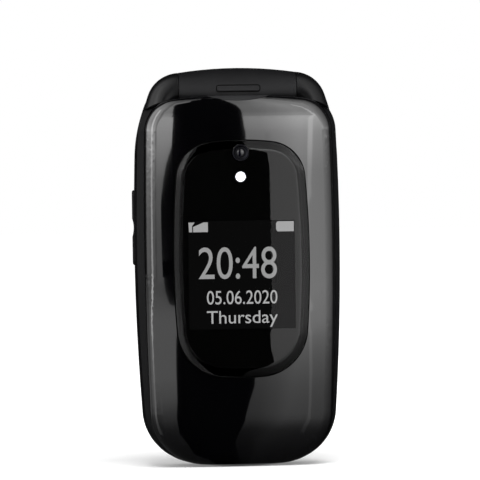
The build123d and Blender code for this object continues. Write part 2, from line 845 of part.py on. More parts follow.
def volume_switches():
    """Two side-press switches on the board's edge, one under each pad."""
    nub_x = rocker_front_x + rocker_body + switch_gap
    body_x = nub_x + switch_nub
    switches = []
    for up in (-1, 1):
        z = rocker_z + up * rocker_length / 3
        middle_y = board_back_y + switch_height / 2
        body = Pos(body_x + switch_depth / 2, middle_y, z) * Box(switch_depth, switch_height, switch_length)
        nub = Box(switch_nub, switch_height / 2, switch_length / 2)
        nub = Pos(nub_x + switch_nub / 2, middle_y, z) * nub
        switches.append(body + nub)
    return switches


def microphone():
    front_y = base_face_y + key_face_wall + 0.05
    return slab(disc(microphone_radius, *microphone_place), front_y, board_front_y)


def lid_switch():
    x, z = lid_switch_place
    width, thickness, height = lid_switch_size
    return Pos(x, board_front_y - thickness / 2, z) * Box(width, thickness, height)


# ---- Lid: outer form ------------------------------------------------------------------------
def lid_outline(half_width, sides, top_z, top_corner, inset=0.0):
    """Front-view outline of a lid layer; all layers share the base's lower end."""
    face = four_arcs(half_width, widest_z, -foot_sink, top_z, sides, bottom_radius, cover_top_radius, inset)
    return round_corners(face, bottom_corner - inset, top_corner - inset)


def cover_outline(inset=0.0):
    return lid_outline(cover_half_width, cover_side_radius, cover_top_z, cover_top_corner, inset)


def face_bulge(inset=0.0):
    """Gloss face turned about a far upright axis: crowned both ways, rolling back at both ends."""
    face_y = lid_front_y + inset
    low_z, high_z = cover_roll_bottom, cover_top_z - cover_roll_top
    middle = (low_z + high_z) / 2
    face_radius = cover_face_crown - inset
    tilt = degrees(asin((high_z - low_z) / 2 / face_radius))
    up = JernArc((face_y, middle), (0, 1), face_radius, -tilt)
    top = JernArc(up @ 1, up % 1, cover_top_roll_radius - inset, -65)
    down = JernArc((face_y, middle), (0, -1), face_radius, tilt)
    bottom = JernArc(down @ 1, down % 1, cover_bottom_roll_radius - inset, 40)
    behind = max((top @ 1).X, (bottom @ 1).X, 0) + 1
    back = Polyline(top @ 1, (behind, (top @ 1).Y), (behind, (bottom @ 1).Y), bottom @ 1)
    section = Plane.YZ * make_face(up + top + down + bottom + back)
    turn_axis = Axis((0, face_y + cover_crown - inset, 0), (0, 0, 1))
    half_turn = 25
    return revolve(section.rotate(turn_axis, -half_turn), turn_axis, 2 * half_turn)


def cover_form(inset=0.0):
    """The gloss cover's pebble shape, or its inner copy at a wall's distance."""
    outline = cover_outline(inset)
    form = slab(outline, lid_front_y - 1, cover_start_y) & face_bulge(inset)
    rim = form.edges().filter_by(lambda e: (e @ 0.5).Y < cover_start_y - 0.2 and on_outline(e, outline))
    rim = [edge for edge in rim if abs((edge @ 0).Y - (edge @ 1).Y) < 0.8 * edge.length]
    return fillet(rim, cover_edge - inset)


def on_outline(edge, outline):
    """Whether an edge of a slab lies along the slab's outline."""
    middle = edge @ 0.5
    return outline.wire().distance_to(Vector(middle.X, middle.Z, 0)) < 0.02


# ---- Places in the lid ----------------------------------------------------------------------
window_front_y = lid_front_y - window_proud
window_back_y = window_front_y + window_thickness
ledge_back_y = window_back_y + window_ledge_thickness
outer_display_y = window_back_y + 0.1
lid_board_y = outer_display_y + outer_display_thickness + lid_board_spacing
lid_board_back_y = lid_board_y + lid_board_thickness
frame_back_y = lid_inner_y - frame_wall
main_window_y = lid_inner_y - main_window_thickness
main_display_y = main_window_y - 0.1 - main_display_thickness
lid_screw_back_y = lid_inner_y - 0.3
lid_screw_seat_y = lid_screw_back_y - lid_screw_head_depth
lid_screw_tip_y = lid_screw_seat_y - lid_screw_length


def window_outline(grow=0.0):
    """Outer window: tall, soft-sided, with rounder lower corners."""
    low_z = window_center_z - window_height / 2
    high_z = window_center_z + window_height / 2
    ends = window_end_radius
    face = four_arcs(
        window_width / 2, window_center_z, low_z, high_z, window_side_radius, ends, ends, -grow
    )
    return round_corners(face, window_bottom_corner + grow, window_top_corner + grow)


def crown(face_y, radius):
    """Large upright cylinder whose front line is at face_y."""
    return Pos(0, face_y + radius, phone_height / 2) * Cylinder(radius, 2 * phone_height)


def outer_window():
    """Smoked window standing a little proud, with a wide bevel and a hole for the camera ring."""
    pane = slab(window_outline(), window_front_y - 1, window_back_y) & crown(window_front_y, window_crown)
    front = pane.faces().filter_by(lambda f: f.center().Y < window_front_y + 0.3).sort_by(Axis.Y)[0]
    pane = chamfer(front.edges(), window_bevel, window_bevel_drop, reference=front)
    return pane - slab(disc(camera_ring_radius + 0.05, 0, camera_z), -20, 0)


def hinge_turning_room():
    """Room in the lid's gloss cover and frame for the two outer knuckles."""
    radius = knuckle_radius + knuckle_turn_clearance
    inner = barrel_half_length
    return round_bar(radius, inner, phone_width) + round_bar(radius, -phone_width, -inner)


def scoop_disc(grow=0.0):
    """Shallow arc cut from the cover's top edge, in front of the barrel."""
    radius = ((scoop_width / 2) ** 2 + scoop_depth**2) / (2 * scoop_depth)
    return disc(radius + grow, 0, cover_top_z - scoop_depth + radius)


def lid_front_cover():
    """Gloss shell with the window's pocket and ledge, screw bosses and the scoop at its top."""
    form = cover_form()
    shell = form - cover_form(cover_wall)
    ledge = slab(window_outline(window_ledge_width), window_back_y - 1.0, ledge_back_y) & form
    shell = shell + ledge
    shell = shell - slab(window_outline(window_gap), -20, window_back_y)
    shell = shell - slab(outer_display_outline(pane_gap), -20, cover_start_y)
    shell = shell - slab(disc(camera_ring_radius + 0.05, 0, camera_z), -20, cover_start_y)
    shell = shell - slab(disc(torch_radius + 0.1, 0, torch_z), -20, cover_start_y)
    front_y = lid_screw_tip_y - 0.5
    for boss in studs(lid_boss_radius, lid_screw_places, front_y, cover_start_y):
        shell = shell + (boss & form)
    shell = cut_all(shell, studs(screw_shank_radius, lid_screw_places, front_y + 0.3, cover_start_y))
    shell = shell - hinge_turning_room()
    shell = shell - round_bar(barrel_radius + 0.05, -barrel_half_length, barrel_half_length)
    return on_foot(shell - slab(scoop_disc(0.1), -20, -3))


def outer_display_outline(grow=0.0):
    extra = 2 * (outer_display_border + grow)
    return rounded(outer_display_width + extra, outer_display_height + extra, 0.8, 0, outer_display_z)


def main_display_outline(grow=0.0):
    extra = 2 * (main_display_border + grow)
    return rounded(main_display_width + extra, main_display_height + extra, 0.8, 0, main_display_z)


def outer_display():
    return slab(outer_display_outline(), outer_display_y, outer_display_y + outer_display_thickness)


def camera_ring():
    """Trim ring through the window, with a funnel towards the lens."""
    outline = disc(camera_ring_radius, 0, camera_z) - disc(camera_ring_bore, 0, camera_z)
    ring = slab(outline, window_front_y, ledge_back_y)
    mouth = ring.faces().sort_by(Axis.Y)[0]
    return chamfer(mouth.edges().sort_by(SortBy.LENGTH)[0], 0.35)


def camera_module():
    """Camera body on the lid board with its lens barrel inside the ring."""
    body = slab(rounded(camera_body, camera_body, 0.5, 0, camera_z), ledge_back_y + 0.05, lid_board_y)
    barrel = slab(disc(camera_lens_radius, 0, camera_z), window_front_y + 0.7, ledge_back_y + 0.1)
    iris = slab(disc(0.55, 0, camera_z), window_front_y, window_front_y + 1.0)
    return body + barrel - iris


def torch_led():
    """Torch lens on its square base."""
    lens = slab(disc(torch_radius, 0, torch_z), window_back_y + 0.05, lid_board_y - 0.4)
    return lens + slab(rounded(3.4, 3.0, 0.3, 0, torch_z), lid_board_y - 0.6, lid_board_y)


def lid_board():
    """Lid circuit board, notched round the screw bosses."""
    middle = (lid_board_top + lid_board_bottom) / 2
    face = rounded(2 * lid_board_half_width, lid_board_top - lid_board_bottom, 5.0, 0, middle)
    return slab(face, lid_board_y, lid_board_back_y)


def barrel():
    """Centre barrel of the hinge: round, slightly fuller in the middle."""
    half = barrel_half_length
    edge = Polyline((half, barrel_end_radius), (half, 0), (-half, 0), (-half, barrel_end_radius))
    top = ThreePointArc((-half, barrel_end_radius), (0, barrel_radius), (half, barrel_end_radius))
    spindle = revolve(Plane.XZ * make_face(edge + top), Axis.X)
    return Pos(0, 0, hinge_z) * spindle


def lid_inner_frame():
    """Inner half of the lid: keypad-side face, steep outer rim and the hinge's centre barrel."""
    top_z, top_corner = cover_top_z + frame_top_rise, cover_top_corner + frame_top_rise
    wide = Plane.XZ.offset(-lid_inner_y) * lid_outline(frame_half_width, side_radius, top_z, top_corner)
    frame = loft([wide, Plane.XZ.offset(-cover_start_y) * cover_outline()], ruled=True)
    frame = frame - slab(cover_outline(frame_rim), cover_start_y - 1, frame_back_y)
    pad = slab(scoop_disc(), lid_front_y, -1) & cover_form(scoop_recess)
    frame = frame + (pad - slab(Pos(0, hinge_z + 50) * Rectangle(200, 100), -20, 0))
    bosses = studs(lid_boss_radius + 0.4, lid_screw_places, cover_start_y, frame_back_y)
    frame = add_all(frame, bosses) - hinge_turning_room() + barrel()
    frame = frame - slab(main_window_outline(pane_gap), main_window_y, 1)
    frame = frame - slab(main_display_outline(pane_gap), cover_start_y, 1)
    frame = frame - slab(Pos(0, earpiece_z) * SlotOverall(*earpiece_slot), cover_start_y, 1)
    frame = cut_all(frame, studs(screw_shank_radius + 0.1, lid_screw_places, cover_start_y, 1))
    frame = cut_all(frame, studs(screw_head_radius + 0.1, lid_screw_places, lid_screw_seat_y, 1))
    return on_foot(frame - barrel_bores())


def main_window_outline(grow=0.0):
    width, height = main_window_width + 2 * grow, main_window_height + 2 * grow
    return rounded(width, height, main_window_corner + grow, 0, main_window_z)


def barrel_bores():
    """Cartridge bore on the left, pin bore on the right, and the flex cable's room and slot."""
    half = barrel_half_length
    bores = round_bar(cartridge_radius + 0.05, -half, -half + cartridge_length + 0.2)
    bores = bores + round_bar(pin_radius + pin_clearance, half - pin_length / 2 - 0.2, half)
    low_x, high_x = flex_x - flex_width / 2 - 0.2, flex_x + flex_width / 2 + 0.2
    bores = bores + round_bar(flex_room_radius, low_x, high_x)
    slot_y = -flex_radius + flex_thickness / 2
    slot = Pos(flex_x, slot_y, hinge_z - 4) * Box(high_x - low_x, flex_thickness + 0.4, 8)
    return bores + slot


def hinge_flex():
    """Flex cable: one turn in the barrel, a tail down the lid and a foot to the lid board."""
    low_x, high_x = flex_x - flex_width / 2, flex_x + flex_width / 2
    turn = round_bar(flex_radius, low_x, high_x) - round_bar(flex_radius - flex_thickness, low_x, high_x)
    foot_z = lid_board_top - 1.0
    tail_y = -flex_radius + flex_thickness / 2
    tail = Pos(flex_x, tail_y, (hinge_z + foot_z) / 2) * Box(flex_width, flex_thickness, hinge_z - foot_z)
    foot_length = -flex_radius + flex_thickness - lid_board_back_y
    foot = Box(flex_width, foot_length, flex_thickness)
    foot = Pos(flex_x, lid_board_back_y + foot_length / 2, foot_z) * foot
    return turn + tail + foot


def hinge_cartridge():
    """Spring can of the hinge, fixed in the barrel, with a bore for the cam shaft."""
    start = -barrel_half_length
    can = round_bar(cartridge_radius, start + 0.1, start + cartridge_length)
    return can - round_bar(cam_shaft_radius + pin_clearance, start, start + cam_shaft_reach)


def hinge_cam_shaft():
    """Shaft of the hinge cam with a square head keyed in the left knuckle."""
    start = -barrel_half_length
    head_from = start - cam_head_length - barrel_joint_gap - cam_head_play
    across = cam_head_across - cam_head_play
    head = Pos(head_from + cam_head_length / 2, 0, hinge_z) * Box(cam_head_length, across, across)
    return head + round_bar(cam_shaft_radius, head_from + 1, start + cam_shaft_reach - 0.3)


def hinge_pin():
    """Plain pin between the right knuckle and the barrel."""
    half = pin_length / 2
    pin = round_bar(pin_radius - 0.01, barrel_half_length - half, barrel_half_length + half - 0.1)
    ends = pin.edges().filter_by(GeomType.CIRCLE)
    return chamfer(ends, 0.2)


def barrel_tab():
    """Raised rectangular pad on the barrel's front."""
    outline = rounded(tab_width, tab_height, 0.4, 0, hinge_z - tab_drop)
    pad = slab(outline, -barrel_radius - tab_rise, -barrel_radius + 1)
    front = pad.faces().sort_by(Axis.Y)[0]
    return chamfer(front.edges(), 0.15) - barrel()


def main_window():
    return slab(main_window_outline(), main_window_y, lid_inner_y)


def main_display():
    return slab(main_display_outline(), main_display_y, main_window_y - 0.05)


def earpiece_mesh():
    """Fine mesh strip behind the earpiece slot."""
    strip = Pos(0, earpiece_z) * SlotOverall(earpiece_slot[0] + 1.6, earpiece_slot[1] + 1.4)
    return slab(strip, frame_back_y - mesh_thickness, frame_back_y)


def earpiece_speaker():
    back = frame_back_y - mesh_thickness
    width = 2 * (flex_x - flex_width / 2 - earpiece_flex_gap)
    capsule = slab(rounded(width, earpiece_height, 2.0, 0, earpiece_z), back - earpiece_thickness, back)
    rear = capsule.faces().sort_by(Axis.Y)[0]
    return chamfer(rear.edges(), 0.5)


def lid_screws():
    """Four screws from the lid's inner face into the gloss cover."""
    heads = studs(screw_head_radius, lid_screw_places, lid_screw_seat_y + 0.02, lid_screw_back_y - 0.05)
    shanks = studs(screw_shank_radius - 0.02, lid_screw_places, lid_screw_tip_y, lid_screw_back_y - 0.5)
    return [head + shank for head, shank in zip(heads, shanks)]


def lid_bumpers():
    """Soft caps over the lid screws; they touch the keypad face first when the lid shuts."""
    return studs(screw_head_radius + 0.05, lid_screw_places, lid_screw_back_y, lid_inner_y + bumper_rise)


def lid_magnet():
    return slab(disc(magnet_radius, 0, magnet_z), frame_back_y - magnet_thickness, frame_back_y)


# ---- Build ----------------------------------------------------------------------------------
def all_parts():
    """Every node of the phone by name."""
    parts = {name: key_solid(name, size) for name, size in key_layout().items()}
    makers = [
        base_front_housing, base_rear_housing, dome_sheet, main_board, battery, battery_contacts,
        battery_cover, base_screws, screw_plugs, card_socket, shield_can, loudspeaker, charging_socket,
        headphone_socket, vibration_motor, antenna, volume_rocker, volume_switches, microphone, lid_switch,
        hinge_pin, hinge_cam_shaft, hinge_cartridge, hinge_flex, lid_front_cover, lid_inner_frame,
        outer_window, outer_display, camera_ring, camera_module, torch_led, lid_board, barrel_tab,
        main_window, main_display, earpiece_mesh, earpiece_speaker, lid_screws, lid_bumpers, lid_magnet,
    ]
    for maker in makers:
        parts[maker.__name__] = maker()
    return parts


def write_parts():
    for name, shape in all_parts().items():
        solids = shape if isinstance(shape, list) else [shape]
        body = Compound(children=solids) if len(solids) > 1 else solids[0]
        body.label = name
        export_step(body, f"parts/{name}.step")


write_parts()
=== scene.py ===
# %% [markdown]
# # Dressing a closed flip phone
# The phone's solids come packed, each under its own name and in its real place, in metres. This
# notebook gives them their finishes, adds what is printed or lit, and lights them in a plain studio.
# The solids were modelled as the real mouldings are, so they stay and only get better materials.

import math

import bmesh
import bpy
from mathutils import Matrix, Vector
from mathutils.bvhtree import BVHTree
from mathutils.kdtree import KDTree


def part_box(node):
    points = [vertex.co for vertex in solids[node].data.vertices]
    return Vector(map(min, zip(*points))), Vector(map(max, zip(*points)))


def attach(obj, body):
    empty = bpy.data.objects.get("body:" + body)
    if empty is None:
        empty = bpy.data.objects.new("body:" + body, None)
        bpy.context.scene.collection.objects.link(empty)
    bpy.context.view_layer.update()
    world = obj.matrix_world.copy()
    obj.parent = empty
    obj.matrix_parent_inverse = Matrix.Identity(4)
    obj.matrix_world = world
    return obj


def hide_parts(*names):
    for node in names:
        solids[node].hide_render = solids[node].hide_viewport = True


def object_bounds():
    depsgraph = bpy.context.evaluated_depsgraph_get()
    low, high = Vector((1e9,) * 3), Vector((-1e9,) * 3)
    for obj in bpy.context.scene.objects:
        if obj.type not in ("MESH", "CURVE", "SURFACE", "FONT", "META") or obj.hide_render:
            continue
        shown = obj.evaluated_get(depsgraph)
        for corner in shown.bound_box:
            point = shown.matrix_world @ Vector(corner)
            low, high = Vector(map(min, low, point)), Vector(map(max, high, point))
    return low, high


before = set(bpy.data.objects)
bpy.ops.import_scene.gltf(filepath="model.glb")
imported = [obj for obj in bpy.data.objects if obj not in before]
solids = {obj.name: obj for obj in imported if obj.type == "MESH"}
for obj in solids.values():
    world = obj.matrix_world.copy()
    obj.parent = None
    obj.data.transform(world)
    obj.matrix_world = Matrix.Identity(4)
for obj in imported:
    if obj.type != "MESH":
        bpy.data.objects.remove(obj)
solids_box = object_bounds()
mm = 0.001

# %% [markdown]
# ## Colours and nodes
# Paint and plastic colours are easiest to judge as the hex values of a colour picker. Shaders work in
# linear light, so one function turns the first into the second. A second small function adds a shader
# node with its settings and its links, which keeps every finish below down to a few lines. The next ones
# cover the nodes that many finishes need: a sum, a change of range and a mix of two colours.

# %% Functions for colours and nodes
def linear(hex_colour):
    """Turns an sRGB hex value into the linear colour that shaders take."""
    parts = [int(hex_colour[start:start + 2], 16) / 255 for start in (1, 3, 5)]
    return [c / 12.92 if c <= 0.04045 else ((c + 0.055) / 1.055) ** 2.4 for c in parts] + [1.0]


def add(tree, kind, inputs=None, **settings):
    """Adds a shader node; inputs maps a socket to a value or to another node's output."""
    node = tree.nodes.new("ShaderNode" + kind)
    for name, value in settings.items():
        setattr(node, name, value)
    for socket, value in (inputs or {}).items():
        if isinstance(value, bpy.types.NodeSocket):
            tree.links.new(value, node.inputs[socket])
        else:
            node.inputs[socket].default_value = value
    return node


def calculate(tree, operation, *values):
    """Output of a maths node on values or sockets."""
    return add(tree, "Math", dict(enumerate(values)), operation=operation).outputs[0]


def remap(tree, value, start, end, low=0.0, high=1.0, **settings):
    """Output that goes from low to high while value goes from start to end."""
    sockets = {"Value": value, "From Min": start, "From Max": end, "To Min": low, "To Max": high}
    return add(tree, "MapRange", sockets, **settings).outputs["Result"]


def mixed(tree, share, first, second, **settings):
    """Colour between two others, which are linear colours or sockets."""
    return add(tree, "Mix", {0: share, 6: first, 7: second}, data_type="RGBA", **settings).outputs[2]


def empty_tree(owner):
    """Node tree of a material or a world, with its nodes taken out."""
    owner.use_nodes = True
    owner.node_tree.nodes.clear()
    return owner.node_tree


def new_finish(name, **sockets):
    """A material with one Principled shader; sockets are its plain values."""
    material = bpy.data.materials.new(name)
    tree = empty_tree(material)
    shader = add(tree, "BsdfPrincipled", {key.replace("_", " "): value for key, value in sockets.items()})
    add(tree, "OutputMaterial", {"Surface": shader.outputs["BSDF"]})
    return material, tree, shader


print("linear mid grey:", [round(c, 3) for c in linear("#808080")])

# %% [markdown]
# Many finishes and marks are placed from the middle of a solid. Marks, cards, the camera and the lamp all
# become objects in the same way.

# %% Functions for places and objects
def middle_of(node):
    """Middle of a solid's box."""
    low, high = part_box(node)
    return (low + high) / 2


def new_object(name, data):
    """Adds an object to the scene."""
    made = bpy.data.objects.new(name, data)
    bpy.context.scene.collection.objects.link(made)
    return made


print("lid cover's middle:", [round(v / mm, 1) for v in middle_of("lid_front_cover")])

# %% [markdown]
# ## Fine texture of a moulding
# Matt phone plastic gets its look from the mould, which is spark-eroded into grains about a tenth of a
# millimetre wide. They are too fine for this picture, so they are drawn a little coarser. A noise
# pattern in the phone's own millimetres drives a bump, and a much larger one shifts the colour and the
# gloss a little, as handling and moulding flow do.

# %% Grain and cloudiness
def surface_place(tree):
    return add(tree, "TexCoord").outputs["Object"]


def pattern(tree, kind, size_mm, **sockets):
    """Outputs of a texture whose features are size_mm wide; sockets are its plain values."""
    sockets.update(Vector=surface_place(tree), Scale=1 / (size_mm * mm))
    return add(tree, "Tex" + kind, sockets).outputs


def emboss(tree, shader, height, depth_mm, socket="Normal"):
    """Raises the surface by a pattern."""
    bump = add(tree, "Bump", {"Height": height, "Distance": depth_mm * mm, "Strength": 1.0})
    tree.links.new(bump.outputs["Normal"], shader.inputs[socket])


def give_grain(tree, shader, grain_mm, depth_mm, socket="Normal"):
    """Bump of small grains; grain_mm is their width and depth_mm how deep they are."""
    emboss(tree, shader, pattern(tree, "Noise", grain_mm, Detail=2.0)["Fac"], depth_mm, socket)


def give_clouds(tree, shader, size_mm, colours, roughness):
    """Slow change between two colours and between two roughness values."""
    clouds = pattern(tree, "Noise", size_mm, Detail=4.0)["Fac"]
    tint = mixed(tree, clouds, linear(colours[0]), linear(colours[1]))
    tree.links.new(tint, shader.inputs["Base Color"])
    tree.links.new(remap(tree, clouds, 0.0, 1.0, *roughness), shader.inputs["Roughness"])


def moulded_plastic(name, colours, roughness, grain_mm, depth_mm, clouds_mm=6.0, **sockets):
    material, tree, shader = new_finish(name, **{"IOR": 1.5, **sockets})
    give_clouds(tree, shader, clouds_mm, colours, roughness)
    give_grain(tree, shader, grain_mm, depth_mm)
    return material


spark_look = dict(colours=("#111112", "#161617"), roughness=(0.4, 0.48), grain_mm=0.22, depth_mm=0.01,
                  Specular_IOR_Level=0.07)
spark_eroded_abs = moulded_plastic("spark_eroded_abs", **spark_look)
rear_abs = moulded_plastic(
    "coarse_rear_abs", ("#1d1d1e", "#232324"), (0.46, 0.56), 0.26, 0.014, Specular_IOR_Level=0.3
)
satin_abs = moulded_plastic(
    "satin_abs", ("#0a0a0b", "#0e0e0f"), (0.27, 0.34), 0.16, 0.004, Specular_IOR_Level=0.2
)
black_insert = moulded_plastic("black_insert", ("#0e0e0f", "#141415"), (0.4, 0.5), 0.2, 0.006)
key_cap_abs = moulded_plastic("key_cap_abs", ("#1a1a1c", "#1f1f21"), (0.3, 0.38), 0.16, 0.003)
mouldings = (spark_eroded_abs, rear_abs, satin_abs, black_insert, key_cap_abs)
print("mouldings:", [material.name for material in mouldings])

# %% [markdown]
# The barrel's lower front half faces the light, so its colour is painted a little paler than the rest: a
# painted sheen. The lid's inner frame holds it, so its finish gets a paler band by height, in the same grain.

# %% Barrel with a painted sheen
painted_sheen_barrel_abs = moulded_plastic("painted_sheen_barrel", **spark_look)
tree = painted_sheen_barrel_abs.node_tree
shader = tree.nodes["Principled BSDF"]
rim_top, barrel_low, barrel_middle, barrel_high = 92.8 * mm, 94.2 * mm, 96.5 * mm, 101.0 * mm
height = add(tree, "SeparateXYZ", {"Vector": surface_place(tree)}).outputs["Z"]
# painted sheen: paler colour in a band from rim_top to barrel_high, fullest between barrel_low and
# barrel_middle
below_crest = remap(tree, height, barrel_high, barrel_middle, interpolation_type="SMOOTHSTEP")
painted_sheen_share = calculate(tree, "MULTIPLY", below_crest, remap(tree, height, rim_top, barrel_low))
cloudy = shader.inputs["Base Color"].links[0].from_socket
tree.links.new(mixed(tree, painted_sheen_share, cloudy, linear("#2b2b2c")), shader.inputs["Base Color"])
print("barrel:", painted_sheen_barrel_abs.name)

# %% [markdown]
# ## The gloss lid
# The lid is black ABS, polished in the mould and sprayed with a clear hard coat. The coat gives sharp
# reflections over a deep black. It also flows slightly as it dries, which waves the reflections a
# little. A coat layer carries the shine, and a shallow bump a few millimetres across waves it.

# %% Hard-coated gloss
gloss_coat, tree, shader = new_finish(
    "hard_coated_gloss_abs", IOR=1.5, Coat_Weight=1.0, Coat_Roughness=0.02, Coat_IOR=1.5
)
give_clouds(tree, shader, 14.0, ("#020203", "#040405"), (0.04, 0.06))
give_grain(tree, shader, 3.5, 0.0012, "Coat Normal")
print("gloss:", gloss_coat.name)

# %% [markdown]
# ## Smoked and clear windows
# The outer window is smoked acrylic: nearly black when nothing is lit behind it, with a mirror-like
# face. It is a real slab here, so a transmitting shader with a dark tint lets the lit digits through
# and keeps the rest black. Over the display and along its edge the face has an anti-reflection film, which
# halves its shine; a lower index of refraction does the same. The inner window has little tint.

# %% Acrylic windows
def acrylic(name, tint, index, ripple_mm=0.0008):
    """A slab that light passes through, with a slow ripple in its face."""
    material, tree, shader = new_finish(
        name, Base_Color=linear(tint), IOR=index, Transmission_Weight=1.0, Roughness=0.01
    )
    give_grain(tree, shader, 9.0, ripple_mm)
    return material


smoked_acrylic = acrylic("smoked_acrylic", "#777777", 1.51)
filmed_acrylic = acrylic("filmed_smoked_acrylic", "#777777", 1.3)
clear_acrylic = acrylic("clear_acrylic", "#d8d8dc", 1.49, 0.001)
border_ink = moulded_plastic(
    "black_border_ink", ("#020202", "#030303"), (0.3, 0.4), 0.3, 0.001, Specular_IOR_Level=0.1
)
print("windows:", smoked_acrylic.name, filmed_acrylic.name, clear_acrylic.name)

# %% [markdown]
# The torch is a bright spot behind a moulded lens. It glows strongly over the LED and hardly at all
# towards the lens's rim, so the glow depends on the distance from the lens's middle.

# %% Torch lens
led_radius, lens_radius = 0.75 * mm, 1.4 * mm
torch_acrylic, tree, shader = new_finish(
    "torch_acrylic", Base_Color=linear("#f4f6ff"), IOR=1.49, Roughness=0.2, Emission_Color=linear("#f6f8ff")
)
torch_centre = middle_of("torch_led")
place = add(tree, "VectorMath", {0: surface_place(tree), 1: torch_centre}, operation="SUBTRACT")
place = add(tree, "VectorMath", {0: place.outputs["Vector"], 1: (1.0, 0.0, 1.0)}, operation="MULTIPLY")
away = add(tree, "VectorMath", {0: place.outputs["Vector"]}, operation="LENGTH").outputs["Value"]
fall_off = remap(tree, away, led_radius, lens_radius, 60.0, 0.05, interpolation_type="SMOOTHERSTEP")
tree.links.new(fall_off, shader.inputs["Emission Strength"])
give_grain(tree, shader, 0.5, 0.01)
print("torch:", torch_acrylic.name)

# %% [markdown]
# ## Metals
# Screws and cans are nickel-plated steel, and the camera ring is aluminium turned on a lathe and
# anodised black. Turning leaves fine circles, so its bump is rings about the camera's axis.

# %% Plated steel, turned aluminium and mesh
nickel_steel, tree, shader = new_finish("nickel_plated_steel", Metallic=1.0)
give_clouds(tree, shader, 3.0, ("#b0b0ae", "#c2c2c0"), (0.22, 0.34))
give_grain(tree, shader, 0.4, 0.002)

turned_aluminium, tree, shader = new_finish("turned_black_aluminium", Metallic=1.0)
give_clouds(tree, shader, 1.5, ("#1c1c20", "#26262a"), (0.26, 0.34))
ring_middle = middle_of("camera_ring")
place = add(tree, "VectorMath", {0: surface_place(tree), 1: ring_middle}, operation="SUBTRACT")
rings = add(
    tree, "TexWave", {"Vector": place.outputs["Vector"], "Scale": 1 / (0.5 * mm), "Distortion": 0.5},
    wave_type="RINGS", rings_direction="Y",
)
emboss(tree, shader, rings.outputs["Fac"], 0.004)

woven_mesh, tree, shader = new_finish("woven_steel_mesh", Metallic=1.0)
give_clouds(tree, shader, 2.0, ("#48484a", "#565658"), (0.35, 0.45))
emboss(tree, shader, pattern(tree, "Voronoi", 0.45, Randomness=0.0)["Distance"], 0.08)
print("metals:", nickel_steel.name, turned_aluminium.name, woven_mesh.name)

# %% [markdown]
# ## Boards, films and rubber
# These sit inside and show only when the battery cover lifts or the lid opens. A circuit board is
# glass-epoxy under green solder mask, with copper tracks that show as a faint relief. Polyimide film is
# amber and smooth. The bumpers and plugs are silicone rubber, soft black and dull.

# %% Inner finishes
solder_mask, tree, shader = new_finish("green_solder_mask", IOR=1.5)
give_clouds(tree, shader, 4.0, ("#0c3a22", "#10482b"), (0.28, 0.36))
tracks = add(
    tree, "TexVoronoi", {"Vector": surface_place(tree), "Scale": 1 / (2.5 * mm)},
    distance="CHEBYCHEV", feature="F1",
)
emboss(tree, shader, tracks.outputs["Distance"], 0.05)

polyimide_film = moulded_plastic("polyimide_film", ("#8a4a14", "#9c5a1c"), (0.25, 0.35), 0.8, 0.004)
silicone_rubber = moulded_plastic("silicone_rubber", ("#161616", "#1b1b1b"), (0.62, 0.72), 0.25, 0.01)
battery_wrap = moulded_plastic("printed_battery_wrap", ("#5c6066", "#666a70"), (0.32, 0.42), 0.6, 0.003)
silver_paint = moulded_plastic(
    "satin_silver_paint", ("#8e9093", "#999b9e"), (0.3, 0.38), 0.12, 0.002, Metallic=0.6
)
print("inner finishes:", solder_mask.name, polyimide_film.name, silicone_rubber.name)

# %% [markdown]
# ## Hand the finishes out
# Each solid gets one finish by name. The solids keep their places and shapes; only the material in
# their slot changes.

# %% Give every solid its finish
def finish(material, *names):
    for name in names:
        mesh = solids[name].data
        mesh.materials.clear()
        mesh.materials.append(material)


digits = {"one": "1", "two": "2", "three": "3", "four": "4", "five": "5", "six": "6", "seven": "7",
          "eight": "8", "nine": "9", "zero": "0", "star": "*", "hash": "#"}
other_keys = ["soft_left", "soft_right", "call", "end", "ok"]
finish(gloss_coat, "lid_front_cover")
finish(painted_sheen_barrel_abs, "lid_inner_frame", "barrel_tab")
finish(spark_eroded_abs, "volume_rocker")
finish(rear_abs, "base_rear_housing", "battery_cover")
finish(satin_abs, "base_front_housing")
finish(key_cap_abs, *[name + "_key" for name in [*digits, *other_keys]])
finish(silver_paint, "nav_ring")
finish(smoked_acrylic, "outer_window")
finish(clear_acrylic, "main_window")
finish(torch_acrylic, "torch_led")
finish(black_insert, "outer_display", "main_display", "camera_module", "earpiece_speaker", "loudspeaker",
       "headphone_socket", "battery_contacts", "lid_switch")
finish(turned_aluminium, "camera_ring", "lid_magnet")
finish(woven_mesh, "earpiece_mesh")
finish(nickel_steel, "lid_screws", "base_screws", "hinge_cartridge", "hinge_cam_shaft", "hinge_pin",
       "shield_can", "card_socket", "charging_socket", "vibration_motor", "microphone", "volume_switches")
finish(solder_mask, "main_board", "lid_board")
finish(polyimide_film, "dome_sheet", "hinge_flex", "antenna")
finish(silicone_rubber, "lid_bumpers", "screw_plugs")
finish(battery_wrap, "battery")
bare = [name for name, solid in solids.items()
        if not solid.data.materials or not solid.data.materials[0].use_nodes]
print("solids without a finish:", bare)

# %% [markdown]
# ## Flat marks: digits, icons and legends
# Everything printed or lit is a thin flat mark that faces the front. Each is ink_mm thick, stands a hair
# off the surface it belongs to and moves with a body. First come the steps that all marks share.

# %% From a bmesh to a kept mark
ink_mm = 0.02


def mesh_from(form, name):
    """Turns a finished bmesh into a mesh whose faces all point outwards."""
    bmesh.ops.recalc_face_normals(form, faces=form.faces[:])
    if form.calc_volume(signed=True) < 0:
        bmesh.ops.reverse_faces(form, faces=form.faces[:])
    mesh = bpy.data.meshes.new(name)
    form.to_mesh(mesh)
    form.free()
    return mesh


def thicken(form, depth):
    """Gives a flat form a second side, moved along Y by depth in metres."""
    made = bmesh.ops.extrude_face_region(form, geom=form.faces[:])
    moved = [part for part in made["geom"] if isinstance(part, bmesh.types.BMVert)]
    bmesh.ops.translate(form, verts=moved, vec=(0, depth, 0))


